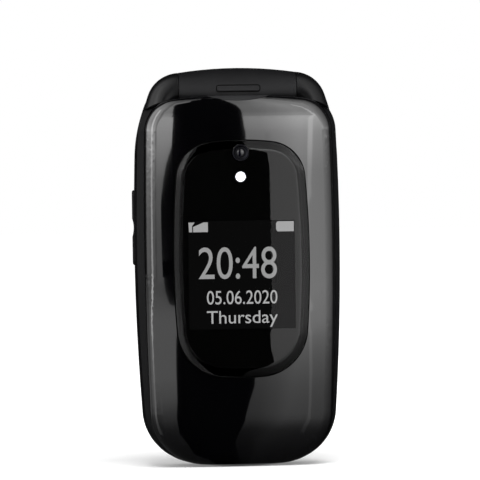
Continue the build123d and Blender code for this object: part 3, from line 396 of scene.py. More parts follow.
def keep_mark(name, mesh, material, body):
    """Makes a mesh of one material a piece that moves with a body."""
    mesh.materials.clear()
    mesh.materials.append(material)
    mark = new_object(name, mesh)
    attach(mark, body)
    return mark


print("ink:", ink_mm, "mm thick")

# %% [markdown]
# Text curves are turned into meshes and scaled to the height, and if wanted the width, that the mark has.

# %% Lettering
def lettering(name, words, tall, place, material, body, wide=None):
    """Words facing -Y: tall and wide in mm, place is the middle (x, front y, z) in mm."""
    curve = bpy.data.curves.new(name, "FONT")
    curve.body = words
    curve.extrude = 0.5
    curve.resolution_u = 6
    holder = new_object(name + "_curve", curve)
    bpy.context.view_layer.update()
    graph = bpy.context.evaluated_depsgraph_get()
    mesh = bpy.data.meshes.new_from_object(holder.evaluated_get(graph))
    bpy.data.objects.remove(holder)
    low = [min(v.co[i] for v in mesh.vertices) for i in range(2)]
    high = [max(v.co[i] for v in mesh.vertices) for i in range(2)]
    up = tall / (high[1] - low[1])
    across = up if wide is None else wide / (high[0] - low[0])
    for v in mesh.vertices:
        x = (v.co.x - (low[0] + high[0]) / 2) * across
        z = (v.co.y - (low[1] + high[1]) / 2) * up
        v.co = (x + place[0], place[1] - v.co.z * ink_mm, z + place[2])
        v.co *= mm
    return keep_mark(name, mesh, material, body)


print("lettering: ready")

# %% [markdown]
# Icons are polygons given in millimetres about their own middle. Arcs, circles and boxes with round
# corners give most outlines, also those of the window's parts.

# %% Icons and outlines
def icon(name, outlines, place, material, body):
    """Flat polygons facing -Y; each outline lists (x, z) in mm about the icon's place."""
    form = bmesh.new()
    for outline in outlines:
        ring = [form.verts.new(Vector((x + place[0], place[1], z + place[2])) * mm) for x, z in outline]
        form.faces.new(ring)
    thicken(form, -ink_mm * mm)
    return keep_mark(name, mesh_from(form, name), material, body)


def arc_points(radius, start, end, steps):
    """Points on an arc about (0, 0), in degrees."""
    angles = [math.radians(start + (end - start) * step / steps) for step in range(steps + 1)]
    return [(radius * math.cos(a), radius * math.sin(a)) for a in angles]


def circle(centre, radius, steps):
    """Points round a centre (x, z), all in metres."""
    return [centre + Vector(point) * radius for point in arc_points(1.0, 0, 360, steps)[:-1]]


def soft_box(width, height, corner):
    """Outline of a rectangle with rounded corners."""
    points = []
    for quarter in range(4):
        side_x = 1 if quarter in (0, 3) else -1
        side_z = 1 if quarter in (0, 1) else -1
        middle = (side_x * (width / 2 - corner), side_z * (height / 2 - corner))
        corner_arc = arc_points(corner, quarter * 90, quarter * 90 + 90, 5)
        points += [(middle[0] + x, middle[1] + z) for x, z in corner_arc]
    return points


print("a soft box has", len(soft_box(4, 3, 1)), "points")

# %% [markdown]
# ## Light behind the windows
# A small panel of this kind lights its digits evenly. The outer one is grey on black. The smoked window
# eats most of the light, so the lit marks are brighter than they look. The panel's own black is a touch
# lighter than the window's, as real panels leak a little.

# %% Lit materials
def lit(name, hex_colour, strength):
    """A glowing mark, with a faint dot pattern of the panel's pixels, 0.2 mm apart."""
    material, tree, shader = new_finish(
        name, Base_Color=linear("#030303"), Roughness=0.4, Specular_IOR_Level=0.0, Emission_Strength=strength
    )
    pixels = pattern(tree, "Voronoi", 0.2, Randomness=0.0)["Distance"]
    dim = remap(tree, pixels, 0.0, 1.0, 1.0, 0.85)
    colour = mixed(tree, 1.0, linear(hex_colour), dim, blend_type="MULTIPLY")
    tree.links.new(colour, shader.inputs["Emission Color"])
    return material


outer_digits = lit("outer_panel_digits", "#c8c8c8", 3.3)
outer_small = lit("outer_panel_small_digits", "#c8c8c8", 4.4)
outer_icons = lit("outer_panel_icons", "#d8d8d8", 3.2)
outer_black = lit("outer_panel_black", "#222222", 1.2)
print("lit:", outer_digits.name, outer_icons.name, outer_black.name)

# %% [markdown]
# ## Outer display
# The panel shows a clock: large time, a date and a day below it, a signal mark at the top left and a
# battery mark at the top right. The values are plain ones. Sizes are measured from the panel's middle.

# %% Clock face
panel_x, _, panel_z = middle_of("outer_display") / mm
panel_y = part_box("outer_display")[0].y / mm
screen_wide, screen_tall, screen_corner = 27.4, 27.9, 0.3
screen_y = panel_y - 0.01
digits_y = screen_y - 0.03
screen = soft_box(screen_wide, screen_tall, screen_corner)
icon("outer_screen", [screen], (panel_x, screen_y, panel_z), outer_black, "lid")
for name, words, tall, wide, x, z, glow in [
    ("outer_time", "20:48", 8.2, 20.2, -1.0, 3.05, outer_digits),
    ("outer_date", "05.06.2020", 3.5, 18.2, 0.0, -5.8, outer_small),
    ("outer_day", "Thursday", 4.3, 18.3, 0.0, -11.4, outer_small),
]:
    place = (panel_x + x, digits_y, panel_z + z)
    lettering(name, words, tall, place, glow, "lid", wide)
mast = [(-2.5, 1.25), (-0.9, 1.25), (-1.55, 0.35), (-1.55, -1.25), (-2.35, -1.25)]
bars = [(-1.3, -1.25), (2.5, -1.25), (2.5, 1.25), (1.4, 1.25), (-1.3, 0.1)]
cell = [(2.3, -1.3), (2.3, 1.3), (-1.9, 1.3), (-2.3, 0.8), (-2.3, -0.8), (-1.9, -1.3)]
for name, shapes, x, z in [("outer_signal", [mast, bars], -11.1, 12.35), ("outer_charge", [cell], 11.3, 12.3)]:
    icon(name, shapes, (panel_x + x, digits_y, panel_z + z), outer_icons, "lid")
print("outer panel front at y", round(panel_y, 2), "mm")

# %% [markdown]
# ## Outer window
# The window is a moulded pane, nearly flat in the middle, that falls away softly over its last three
# millimetres. A bevel modifier could round it, but a mirror shows every facet. So the depth of its front
# comes from a formula, and the same formula gives the normals. The pane takes its outline from the packed
# window and fills the same seat.

# %% The pane's outline and the shape of its front
pane_low, pane_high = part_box("outer_window")
pane_centre = middle_of("outer_window").xz
pane_crown, edge_width, edge_slope = 700 * mm, 2.8 * mm, math.tan(math.radians(13))
pane_back = pane_high.y - 0.08 * mm
ring_low, ring_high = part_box("camera_ring")
ring_centre = ring_middle.xz
ring_hole = (ring_high.x - ring_low.x) / 2 + 0.05 * mm


def even_ring(points, step):
    """Points at even spacing along a closed line."""
    closed = points + points[:1]
    lengths = [0.0]
    for first, second in zip(closed, closed[1:]):
        lengths.append(lengths[-1] + (second - first).length)
    count = round(lengths[-1] / step)
    ring, run = [], 0
    for index in range(count):
        wanted = lengths[-1] * index / count
        while lengths[run + 1] < wanted:
            run += 1
        share = (wanted - lengths[run]) / (lengths[run + 1] - lengths[run])
        ring.append(closed[run].lerp(closed[run + 1], share))
    return ring


back_corners = {(round(v.co.x, 6), round(v.co.z, 6)) for v in solids["outer_window"].data.vertices
                if v.co.y > pane_high.y - 0.01 * mm}
rim = [Vector(corner) for corner in back_corners]
rim = [point for point in rim if (point - ring_centre).length > ring_hole + 0.2 * mm]
rim.sort(key=lambda point: math.atan2(point.y - pane_centre.y, point.x - pane_centre.x))
rim = even_ring(rim, 0.5 * mm)


def inward_of(ring, span):
    """Unit directions into a closed line, from the neighbours that lie span points away."""
    alongs = [ring[(index + span) % len(ring)] - ring[index - span] for index in range(len(ring))]
    return [Vector((-along.y, along.x)).normalized() for along in alongs]


inward = inward_of(rim, 6)


def inset(distance):
    """The pane's outline moved inwards by a distance in metres, or outwards where it is negative."""
    return [point + into * distance for point, into in zip(rim, inward)]


def pane_depth(point, distance):
    """How far back the pane's front is at a point (x, z), a distance in from the outline."""
    fall = max(0.0, 1 - distance / edge_width)
    return pane_low.y + point.x ** 2 / (2 * pane_crown) + edge_slope * edge_width / 2 * fall ** 2


print("window outline:", len(rim), "points, edge falls", round(edge_slope * edge_width / 2 / mm, 2), "mm")

# %% [markdown]
# The pane is made of rings of points. The outer ones are the outline moved inwards, and the inner ones
# shrink towards the middle. Four cuts mark out the film over the display.

# %% Pane mesh
wall_inset, wall_front = 0.06 * mm, 0.08 * mm
edge_steps = (0.12, 0.25, 0.5, 0.8, 1.2, 1.6, 2.0, 2.4, edge_width / mm)
middle_steps = (0.88, 0.74, 0.6, 0.46, 0.32, 0.18, 0.06)


def add_ring(form, points, depths):
    return [form.verts.new((point.x, depth, point.y)) for point, depth in zip(points, depths)]


def join_rings(form, first, second):
    """Quads between two closed rings of as many points."""
    for index in range(len(first)):
        after = (index + 1) % len(first)
        form.faces.new([first[index], first[after], second[after], second[index]])


form = bmesh.new()
wall = inset(wall_inset)
rows = [add_ring(form, wall, [pane_back] * len(rim)),
        add_ring(form, wall, [pane_depth(point, 0.0) + wall_front for point in wall])]
for distance in edge_steps:
    points = inset(distance * mm)
    rows.append(add_ring(form, points, [pane_depth(point, distance * mm) for point in points]))
for share in middle_steps:
    points = [pane_centre.lerp(point, share) for point in inset(edge_width)]
    rows.append(add_ring(form, points, [pane_depth(point, edge_width) for point in points]))
for first, second in zip(rows, rows[1:]):
    join_rings(form, first, second)
form.faces.new(rows[-1])
form.faces.new(rows[0][::-1])
sides = [(x, 0, (1, 0, 0)) for x in (-screen_wide / 2, screen_wide / 2)]
sides += [(0, z, (0, 0, 1)) for z in (-screen_tall / 2, screen_tall / 2)]
for x, z, across in sides:
    everything = form.verts[:] + form.edges[:] + form.faces[:]
    spot = Vector((panel_x + x, 0, panel_z + z)) * mm
    bmesh.ops.bisect_plane(form, geom=everything, plane_co=spot, plane_no=across)
solid_mesh = mesh_from(form, "pane_solid")
print("pane rings:", len(rows))

# %% [markdown]
# A boolean drills the hole for the camera ring, with a short cylinder that is longer than the pane is
# thick.

# %% Camera hole
form = bmesh.new()
steps = 72
around = circle(ring_centre, ring_hole, steps)
ends = [add_ring(form, around, [depth] * steps) for depth in (pane_low.y - 2 * mm, pane_high.y + 2 * mm)]
join_rings(form, *ends)
form.faces.new(ends[0])
form.faces.new(ends[1][::-1])
drill_mesh = mesh_from(form, "drill")

holders = [new_object(mesh.name, mesh) for mesh in (solid_mesh, drill_mesh)]
drill = holders[0].modifiers.new("drill", "BOOLEAN")
drill.operation, drill.object, drill.solver = "DIFFERENCE", holders[1], "EXACT"
bpy.context.view_layer.update()
graph = bpy.context.evaluated_depsgraph_get()
pane_mesh = bpy.data.meshes.new_from_object(holders[0].evaluated_get(graph))
for holder in holders:
    bpy.data.objects.remove(holder)
print("pane faces:", len(pane_mesh.polygons))

# %% [markdown]
# The front gets its normals from the formula: at each corner of a front face, the slope across the pane
# and the slope of the falling edge are added. The walls and the back keep their flat normals.

# %% Pane normals and its place
finder = KDTree(len(rim))
for index, point in enumerate(rim):
    finder.insert((point.x, 0.0, point.y), index)
finder.balance()


def from_edge(place):
    """Distance in from the outline and the direction away from it."""
    index = finder.find((place.x, 0.0, place.z))[1]
    return (Vector((place.x, place.z)) - rim[index]).dot(inward[index]), inward[index]


def front_normal(place):
    """Outward normal of the pane's front at a point."""
    distance, into = from_edge(place)
    slope = -edge_slope * max(0.0, 1 - distance / edge_width)
    return Vector((place.x / pane_crown + slope * into.x, -1.0, slope * into.y)).normalized()


facing_front = -0.8
edge_film = 2.0 * mm
normals = []
for face in pane_mesh.polygons:
    face.use_smooth = True
    on_front = face.normal.y < facing_front
    for corner in face.vertices:
        place = pane_mesh.vertices[corner].co
        normals.append(front_normal(place) if on_front else face.normal.copy())
pane_mesh.normals_split_custom_set(normals)
pane = keep_mark("outer_window_pane", pane_mesh, smoked_acrylic, "lid")
pane_mesh.materials.append(filmed_acrylic)
for face in pane_mesh.polygons:
    x, z = face.center.x / mm - panel_x, face.center.z / mm - panel_z
    over_display = abs(x) < screen_wide / 2 and abs(z) < screen_tall / 2
    on_edge = from_edge(face.center)[0] < edge_film
    face.material_index = int((over_display or on_edge) and face.normal.y < facing_front)
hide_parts("outer_window")
print("pane:", pane.name, "replaces outer_window")

# %% [markdown]
# Behind the pane lies the black border print, with openings for the display, the camera and the torch.

# %% Border print
print_edge, torch_room, ring_room, print_gap = 2.2 * mm, 1.6 * mm, 0.1 * mm, 0.03 * mm
form = bmesh.new()
openings = [
    [Vector((panel_x + x, panel_z + z)) * mm for x, z in screen],
    circle(torch_centre.xz, torch_room, 48),
    circle(ring_centre, ring_hole + ring_room, 48),
]
for line in [inset(print_edge)] + openings:
    corners = add_ring(form, line, [pane_back - print_gap] * len(line))
    for index, corner in enumerate(corners):
        form.edges.new((corner, corners[index - 1]))
bmesh.ops.triangle_fill(form, use_beauty=True, edges=form.edges[:], normal=(0, -1, 0))
thicken(form, ink_mm * mm)
print_mesh = mesh_from(form, "window_print")
keep_mark("window_print", print_mesh, border_ink, "lid")
print("print faces:", len(print_mesh.polygons))

# %% [markdown]
# Round the pane, at the bottom of its seam, runs a thin foam gasket, which makes the seam a black line.
# It is a band of four closed lines, each joined to the next and the last to the first. Its front follows
# the cover, which is crowned across its width.

# %% Gasket
def closed_band(name, lines):
    """Ring-shaped solid through closed lines, each given as (points, depths)."""
    form = bmesh.new()
    loops = [add_ring(form, points, depths) for points, depths in lines]
    for first, second in zip(loops, loops[1:] + loops[:1]):
        join_rings(form, first, second)
    return mesh_from(form, name)


# the same near-black also draws the painted shade line round the tab, further down
foam_and_seam_shade = moulded_plastic(
    "closed_cell_foam_and_seam_shade", ("#040404", "#070707"), (0.85, 0.95), 0.3, 0.02, Specular_IOR_Level=0.1
)
cover_front, cover_crown, gasket_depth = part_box("lid_front_cover")[0].y, 130 * mm, 0.5 * mm
outer_line, inner_line = inset(-0.26 * mm), inset(0.04 * mm)
fronts = [(line, [cover_front + point.x ** 2 / (2 * cover_crown) + gasket_depth for point in line])
          for line in (outer_line, inner_line)]
backs = [(line, [pane_back] * len(line)) for line in (inner_line, outer_line)]
seal_mesh = closed_band("window_seal", fronts + backs)
keep_mark("window_seal", seal_mesh, foam_and_seam_shade, "lid")
print("gasket faces:", len(seal_mesh.polygons))

# %% [markdown]
# ## Camera lens
# In the ring's bore sits a small stepped retainer and a domed glass, both turned about the camera's axis.
# A spun profile gives them. The dome is dark and coated, so it shows only a tiny curved reflection.

# %% Retainer and dome
def turned(name, profile, material, body):
    """Spins a closed profile of (radius, depth behind the pane's front) in mm about the camera's axis."""
    steps = 64
    lines = [(circle(ring_centre, radius * mm, steps), [pane_low.y + depth * mm] * steps)
             for radius, depth in profile]
    mesh = closed_band(name, lines)
    for face in mesh.polygons:
        face.use_smooth = True
    mesh.set_sharp_from_angle(angle=math.radians(25))
    return keep_mark(name, mesh, material, body)


coated_glass = moulded_plastic(
    "coated_lens_glass", ("#020206", "#050310"), (0.03, 0.05), 1.0, 0.0002, IOR=1.6
)
retainer = [(1.4, 0.68), (1.4, 0.3), (1.22, 0.3), (1.15, 0.42), (1.05, 0.42), (0.98, 0.55), (0.98, 0.68)]
dome = [(0.02, 0.45), (0.2, 0.455), (0.4, 0.475), (0.6, 0.51), (0.8, 0.56), (0.95, 0.62), (0.95, 0.68),
        (0.02, 0.68)]
turned("lens_retainer", retainer, turned_aluminium, "lid")
turned("lens_dome", dome, coated_glass, "lid")
print("lens profile points:", len(retainer), "and", len(dome))

# %% [markdown]
# ## Painted shade round the tab
# The tab is pressed into the barrel, and the crease round it is drawn as a fine dark line of painted shade.
# The line lies on the barrel's curved face, so each of its points is dropped onto that face.

# %% Painted shade line round the tab
frame_mesh = solids["lid_inner_frame"].data
frame_tree = BVHTree.FromPolygons([v.co for v in frame_mesh.vertices],
                                  [tuple(face.vertices) for face in frame_mesh.polygons])
tab_low, tab_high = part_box("barrel_tab")
tab_centre = middle_of("barrel_tab").xz
tab_corner, seam_wide, seam_step, seam_rise, seam_sink = 0.4, 0.3 * mm, 0.25 * mm, 0.03 * mm, 0.1 * mm
tab_box = soft_box((tab_high.x - tab_low.x) / mm, (tab_high.z - tab_low.z) / mm, tab_corner)
near_line = even_ring([tab_centre + Vector(point) * mm for point in tab_box], seam_step)
far_line = [point - into * seam_wide for point, into in zip(near_line, inward_of(near_line, 1))]


def on_barrel(point, rise):
    """Depth of the barrel's face at (x, z), moved forward by rise in metres."""
    hit = frame_tree.ray_cast(Vector((point.x, tab_low.y - mm, point.y)), Vector((0, 1, 0)))[0]
    return (tab_high.y if hit is None else hit.y) - rise


# painted shade: a near-black band in the crease round the tab, sunk a little into the barrel
around = [(near_line, seam_rise), (far_line, seam_rise), (far_line, -seam_sink), (near_line, -seam_sink)]
seam_shade_mesh = closed_band("tab_seam_shade", [
    (line, [on_barrel(point, rise) for point in line]) for line, rise in around
])
keep_mark("tab_seam_shade", seam_shade_mesh, foam_and_seam_shade, "lid")
print("seam faces:", len(seam_shade_mesh.polygons))

# %% [markdown]
# ## Inner display
# With the lid open, the main panel shows a plain standby picture: a blue that fades along the panel, and
# the same time and date. When the lid is shut this faces the keypad. The panel looks towards +Y, so its
# marks are turned round.

# %% Standby picture
sky, tree, shader = new_finish(
    "standby_picture", Base_Color=linear("#050505"), Roughness=0.4, Emission_Strength=1.1
)
height = add(tree, "SeparateXYZ", {"Vector": surface_place(tree)}).outputs["Z"]
main_low, main_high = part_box("main_display")
blues = mixed(tree, remap(tree, height, main_low.z, main_high.z), linear("#0a2a5a"), linear("#3f7fc0"))
tree.links.new(blues, shader.inputs["Emission Color"])
standby_white = lit("standby_white", "#f0f4ff", 1.2)


def turned_round(mark):
    """Turns a front-facing mark to face +Y, upright with the lid open."""
    middle = sum((v.co for v in mark.data.vertices), Vector()) / len(mark.data.vertices)
    turn = Matrix.Translation(middle) @ Matrix.Rotation(math.pi, 4, "X") @ Matrix.Translation(-middle)
    mark.data.transform(turn)


main_x, _, main_z = middle_of("main_display") / mm
main_y = main_high.y / mm
main_box = soft_box(36.7, 49.0, screen_corner)
turned_round(icon("main_screen", [main_box], (main_x, main_y + 0.02, main_z), sky, "lid"))
for name, words, tall, wide, z in [
    ("main_time", "20:48", 7.5, 20.0, -8.0),
    ("main_date", "05.06.2020", 2.6, 17.0, 0.0),
]:
    place = (main_x, main_y + 0.04, main_z + z)
    turned_round(lettering(name, words, tall, place, standby_white, "lid", wide))
print("inner panel back at y", round(main_y, 2), "mm")

# %% [markdown]
# ## Key legends
# The legends are pad-printed in pale ink, with green and red for call and end. Each one moves with its
# own key, so it rides on that key's body.

# %% Ink and legends
pale_ink, green_ink, dark_ink, red_ink = [
    moulded_plastic(name + "_pad_print", colours, (0.45, 0.55), 0.3, 0.002) for name, *colours in [
        ("pale", "#d6d6d2", "#dededa"), ("green", "#2f9a44", "#35a34b"),
        ("dark", "#1c1c1e", "#202022"), ("red", "#b02a2a", "#ba3232")]
]


def key_front(node):
    """Middle of a key's front face in mm: (x, front y, z)."""
    x, _, z = middle_of(node) / mm
    return x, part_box(node)[0].y / mm, z


for key, digit in digits.items():
    node = key + "_key"
    tall = 3.0 if key == "star" else 5.2
    lettering(key + "_legend", digit, tall, key_front(node), pale_ink, node + "_body")
handset = arc_points(3.0, 200, 340, 10) + arc_points(1.9, 340, 200, 10)
handset = [(x, z + 1.6) for x, z in handset]
hung_up = [(x, -z) for x, z in handset[::-1]]
dash = soft_box(4.6, 1.0, 0.45)
for key, shape, ink, slot in [
    ("call", handset, green_ink, "call_green"), ("end", hung_up, red_ink, "end_red"),
    ("soft_left", dash, pale_ink, "key_plastic"), ("soft_right", dash, pale_ink, "key_plastic"),
]:
    node = key + "_key"
    icon(key + "_legend", [shape], key_front(node), ink, node + "_body")
lettering("ok_legend", "OK", 2.6, key_front("ok_key"), pale_ink, "ok_key_body")
ring_x, ring_y, ring_z = key_front("nav_ring")
pointer = [(-1.2, -0.7), (1.2, -0.7), (0.0, 0.9)]
for index, (x, z) in enumerate([(0, 7.6), (-8.5, 0), (0, -7.6), (8.5, 0)]):
    spin = Matrix.Rotation(math.radians(90 * index), 2)
    arrow = [tuple(spin @ Vector(corner)) for corner in pointer]
    icon(f"ring_arrow_{index + 1}", [arrow], (ring_x + x, ring_y, ring_z + z), dark_ink,
         "nav_ring_body")
print("legends:", len(digits) + 9)

# %% [markdown]
# ## Camera
# The view is from the front, a little to the phone's left and almost level, with a long lens, which keeps
# the upright lines nearly parallel. A roll of under a degree lets the phone lean a little, as if held.

# %% Camera in front of the phone
view_side, view_up, view_roll = math.radians(-5.5), math.radians(1.0), math.radians(0.8)
far, frame_width, sensor_width = 0.9, 124.5 * mm, 36
target = Vector((0.4 * mm, 0, 58.4 * mm))
outward = Vector((
    math.sin(view_side) * math.cos(view_up), -math.cos(view_side) * math.cos(view_up), math.sin(view_up)))
lens = bpy.data.cameras.new("camera")
lens.sensor_width = sensor_width
lens.lens = sensor_width * far / frame_width
camera = new_object("camera", lens)
aim = (-outward).to_track_quat("-Z", "Y").to_matrix().to_4x4()
roll = Matrix.Rotation(-view_roll, 4, "Z")
camera.matrix_world = Matrix.Translation(target + outward * far) @ aim @ roll
bpy.context.scene.camera = camera
print("lens", round(lens.lens), "mm")

# %% [markdown]
# ## Studio
# A gloss black phone shows what stands around it, not its own colour. So the studio is a round tent of
# cards: black behind the camera, which gives the dark middle band, and a soft light on each side, which
# gives the two grey bands. The lid is almost flat from top to bottom, so it mirrors only a low strip of
# the tent, and below its middle the ground in front of it. The glow therefore rises quickly with height
# on the tent, and fades on the ground towards the phone. A narrow strip light on each side draws the
# fine upright lines near the lid's edges. The cards act only in reflections and through the windows: they
# are hidden from the camera, cast no shadow and light no matt part.

# %% Glow by place
full_glow = 10.0


def ramp(tree, value, points):
    """Joins (place, glow) points by straight lines, like the curve of a dimmer."""
    steps = add(tree, "FloatCurve", {"Value": value})
    curve = steps.mapping.curves[0]
    curve.points[0].location, curve.points[1].location = points[0], points[-1]
    for place, glow in points[1:-1]:
        curve.points.new(place, glow)
    for point in curve.points:
        point.handle_type = "VECTOR"
    steps.mapping.update()
    return steps.outputs["Value"]


def even(glow):
    return [(0.0, glow), (1.0, glow)]


def glowing(name, along, reach, glows, turns):
    """Emission that follows the height or the distance (up to reach) and the angle round the phone.

    glows lists (share of reach, share of glow), turns lists (share of 180 degrees, share of full_glow)."""
    material = bpy.data.materials.new(name)
    tree = empty_tree(material)
    spot = surface_place(tree)
    place = add(tree, "SeparateXYZ", {"Vector": spot})
    if along == "height":
        measured = place.outputs["Z"]
    else:
        measured = add(tree, "VectorMath", {0: spot}, operation="LENGTH").outputs["Value"]
    front = calculate(tree, "MULTIPLY", place.outputs["Y"], -1.0)
    aside = calculate(tree, "ABSOLUTE", place.outputs["X"])
    turn = calculate(tree, "DIVIDE", calculate(tree, "ARCTAN2", aside, front), math.pi)
    shares = ramp(tree, remap(tree, measured, 0.0, reach), glows), ramp(tree, turn, turns)
    glow = calculate(tree, "MULTIPLY", calculate(tree, "MULTIPLY", *shares), full_glow)
    shine = add(tree, "Emission", {"Strength": glow})
    add(tree, "OutputMaterial", {"Surface": shine.outputs["Emission"]})
    return material


print("full glow", full_glow)

# %% [markdown]
# A card is a curved sheet about the phone. Each of its rows has its own distance, height and angles.

# %% Card maker
def card(name, rows, material):
    """A curved card; each row is (distance, height, start angle, end angle), 0 degrees is in front."""
    form = bmesh.new()
    steps = 24
    lines = []
    for away, height, start, end in rows:
        turns = [math.radians(start + (end - start) * step / steps) for step in range(steps + 1)]
        lines.append([form.verts.new((away * math.sin(t), -away * math.cos(t), height)) for t in turns])
    for low, high in zip(lines, lines[1:]):
        for step in range(steps):
            form.faces.new([low[step], low[step + 1], high[step + 1], high[step]])
    mesh = mesh_from(form, name)
    mesh.materials.append(material)
    made = new_object(name, mesh)
    for ray in ("camera", "diffuse", "shadow", "volume_scatter"):
        setattr(made, "visible_" + ray, False)
    return made


print("card maker: ready")

# %% [markdown]
# Each light has a dimmer curve over the height or the distance, and one over the angle round the phone.
# The walls are brightest a little above the phone, and the floor fades out towards it.

# %% Lights on the cards
right_turns = [
    (0.0, 0.22), (0.043, 0.25), (0.06, 0.27), (0.09, 0.36), (0.115, 0.46), (0.14, 0.44), (0.25, 0.3),
    (0.36, 0.22), (0.47, 0.12), (0.56, 0.01), (1.0, 0.0)]
left_turns = [
    (0.0, 0.36), (0.09, 0.34), (0.125, 0.2), (0.19, 0.4), (0.5, 0.42), (0.6, 0.3), (0.64, 0.02), (1.0, 0.0)]
left_floor_turns = [(0.0, 0.26), (0.5, 0.26), (0.6, 0.1), (1.0, 0.04)]
right_wall_glow = [
    (0.0, 0.47), (0.075, 0.47), (0.099, 0.65), (0.111, 1.0), (0.15, 0.7), (0.3, 0.55), (0.75, 0.55),
    (0.84, 0.4), (0.95, 0.05), (1.0, 0.05)]
left_wall_glow = [
    (0.0, 0.22), (0.033, 0.24), (0.063, 0.33), (0.0765, 0.46), (0.09, 0.64), (0.111, 0.95), (0.15, 0.8),
    (0.3, 0.6), (0.75, 0.6), (0.84, 0.4), (0.95, 0.05), (1.0, 0.05)]
right_ground_glow = [
    (0.0, 0.002), (0.035, 0.03), (0.1, 0.12), (0.17, 0.155), (0.32, 0.25), (0.54, 0.42), (1.0, 0.48)]
left_ground_glow = [
    (0.0, 0.002), (0.035, 0.03), (0.1, 0.12), (0.14, 0.26), (0.2, 0.34), (0.54, 0.36), (1.0, 0.25)]
wall_reach, ground_reach = 2.0, 1.0
dark = glowing("dark_cloth", "height", wall_reach, even(0.0), even(0.0))
grey = glowing("grey_cloth", "height", wall_reach, even(0.1), even(0.006))
right_light = glowing("right_softbox", "height", wall_reach, right_wall_glow, right_turns)
left_light = glowing("left_softbox", "height", wall_reach, left_wall_glow, left_turns)
right_floor = glowing("right_reflector", "distance", ground_reach, right_ground_glow, right_turns)
left_floor = glowing("left_reflector", "distance", ground_reach, left_ground_glow, left_floor_turns)
print("dimmer points:", len(right_turns), "right and", len(left_turns), "left")

# %% [markdown]
# The tent is a drum with a cone for a roof. Its rows go upwards, and those of the ground go outwards. In
# each row, left_edge and right_edge say where the black middle ends, in degrees round the phone.

# %% Cards
tent_radius = 1.3
tent = [(tent_radius, height) for height in (0.0, 0.08, 0.1, 0.16, 0.2, 0.22, 0.26, 1.5)] + [(0.001, 1.9)]
left_edge = [-14.1, -14.6, -14.6, -13.4, -12.0, -11.5, -11.6, -12.4, -12.4]
right_edge = [7.55, 7.5, 7.2, 6.9, 6.9, 6.4, 6.2, 7.0, 7.0]
ground_rows = (0.001, 0.016, 0.033, 0.093, 0.128, 0.17, 0.225, 0.32, 0.54, 0.65, 0.75, tent_radius)
ground_height = 0.6 * mm
ground = [(distance, ground_height) for distance in ground_rows]
left_ground_edge = [-75, -56, -37.5, -20.6, -17.7, -16.0, -14.8, -13.6, -12.2, -12.0, -13.6, -14.1]
right_ground_edge = [-20, -6.8, 2.2, 5.9, 7.3, 8.7, 8.9, 8.6, 8.0, 7.65, 7.6, 7.55]
side_end = [135.0] * len(ground)
other_side_end = [-angle for angle in side_end]
back_end = [360 - angle for angle in side_end]
for name, rows, starts, ends, material in [
    ("dark_wall", tent, left_edge, right_edge, dark),
    ("dark_ground", ground, left_ground_edge, right_ground_edge, dark),
    ("right_wall", tent, right_edge, side_end, right_light),
    ("right_ground", ground, right_ground_edge, side_end, right_floor),
    ("left_wall", tent, other_side_end, left_edge, left_light),
    ("left_ground", ground, other_side_end, left_ground_edge, left_floor),
    ("back_wall", tent, side_end, back_end, grey),
    ("back_ground", ground, side_end, back_end, grey),
]:
    card(name, [(*place, start, end) for place, start, end in zip(rows, starts, ends)], material)
print("tent radius", tent_radius, "m")

# %% [markdown]
# The strips stand just inside the tent. On the ground the right one fans out towards the phone, because the
# lid's face stands off to that side of the middle; this keeps its mirror image upright on the lid. The left
# one turns back by some degrees instead, step by step from the tent to turned_by.

# %% Strip lights
strip_glow = [(0.0, 0.45), (0.075, 0.55), (0.111, 1.0), (0.3, 0.8), (0.75, 0.7), (1.0, 0.1)]
lean = [(0.0, 0.0), (0.13, 0.0), (0.2, 0.5), (0.3, 1.2), (1.5, 1.4)]
strip_radius, strip_height, turned_by, widening = 1.29, 0.8 * mm, 0.54, 1.1
fan = [(0.033, 17.6), (0.093, 6.5), (0.128, 4.7), (0.17, 3.4), (0.225, 2.5), (0.32, 1.5), (turned_by, 0.6),
       (strip_radius, 0.0)]
for name, start, end, share, ground_share, spread, turned_back in [
    ("right_strip", 22.9, 23.7, 0.55, 0.6, 1.0, 0.0), ("left_strip", -62.0, -48.0, 0.62, 0.85, 0.0, -20.0)
]:
    strip = glowing(name, "height", wall_reach, strip_glow, even(share))
    rows = [(strip_radius, height, start + spread * more, end + spread * more) for height, more in lean]
    card(name, rows, strip)
    floor_strip = glowing(name + "_on_floor", "distance", ground_reach, right_ground_glow, even(ground_share))
    rows = []
    for away, more in fan:
        back = turned_back * min(1.0, (strip_radius - away) / (strip_radius - turned_by))
        rows.append((away, strip_height, start + back + spread * more, end + back + spread * more * widening))
    card(name + "_on_floor", rows, floor_strip)
print("strips:", len(fan), "rows each")
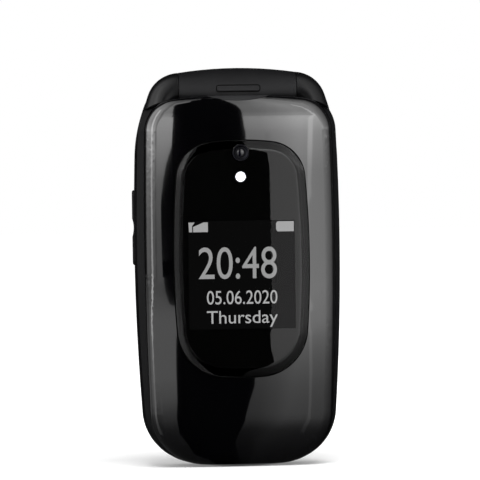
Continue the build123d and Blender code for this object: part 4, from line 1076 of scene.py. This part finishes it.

# %% [markdown]
# The floor is pale and takes the phone's shadow. For the camera and in reflections it also glows a
# little, so that it meets the white world without a seam. Near the phone this glow is weaker, a painted
# shadow that darkens the floor round the phone.

# %% Floor and world
def seen_rays(tree):
    """1 for rays from the camera, from reflections and through windows, and 0 for the rest."""
    ray = add(tree, "LightPath").outputs
    mirrored = calculate(tree, "MAXIMUM", ray["Is Camera Ray"], ray["Is Glossy Ray"])
    return calculate(tree, "MAXIMUM", mirrored, ray["Is Transmission Ray"])


white_floor = bpy.data.materials.new("white_floor")
tree = empty_tree(white_floor)
painted_shadow_reach, clear_from = 0.04, 0.25
away = add(tree, "VectorMath", {0: surface_place(tree)}, operation="LENGTH").outputs["Value"]
# painted shadow: the glow falls from 0.6 to 0.2 towards the phone, darkening the floor round it
level = remap(tree, away, painted_shadow_reach, clear_from, 0.2, 0.6)
glow = calculate(tree, "MULTIPLY", seen_rays(tree), level)
paint = add(tree, "BsdfDiffuse", {"Color": linear("#f0f0f0")})
shine = add(tree, "Emission", {"Strength": glow})
both = add(tree, "AddShader", {0: paint.outputs[0], 1: shine.outputs[0]})
add(tree, "OutputMaterial", {"Surface": both.outputs[0]})
floor_mesh = bpy.data.meshes.new("floor")
half = 4.0
floor_mesh.from_pydata(
    [(-half, -half, 0), (half, -half, 0), (half, half, 0), (-half, half, 0)], [], [(0, 1, 2, 3)])
floor_mesh.materials.append(white_floor)
floor = new_object("floor", floor_mesh)
floor.location.z = solids_box[0].z - 0.01 * mm

world = bpy.data.worlds.new("white_room")
bpy.context.scene.world = world
tree = empty_tree(world)
level = remap(tree, seen_rays(tree), 0.0, 1.0, 0.6, 1.0)
sky_light = add(tree, "Background", {"Color": linear("#ffffff"), "Strength": level})
add(tree, "OutputWorld", {"Surface": sky_light.outputs[0]})
bpy.context.scene.view_settings.view_transform = "Standard"
print("floor at z", round(floor.location.z / mm, 3), "mm")

# %% [markdown]
# ## A soft lamp from above
# One large area lamp above and in front draws the shadow under the phone and lights the matt parts.

# %% Lamp
lamp_data = bpy.data.lights.new("top_softbox", "AREA")
lamp_data.shape = "RECTANGLE"
lamp_data.size, lamp_data.size_y = 0.9, 0.6
lamp_data.energy = 12.0
lamp = new_object("top_softbox", lamp_data)
lamp.location = (0.1, -0.5, 1.1)
lamp.visible_glossy = False
lamp.rotation_euler = (Vector((0, 0, 0.05)) - lamp.location).to_track_quat("-Z", "Y").to_euler()
print("lamp", lamp_data.energy, "W")
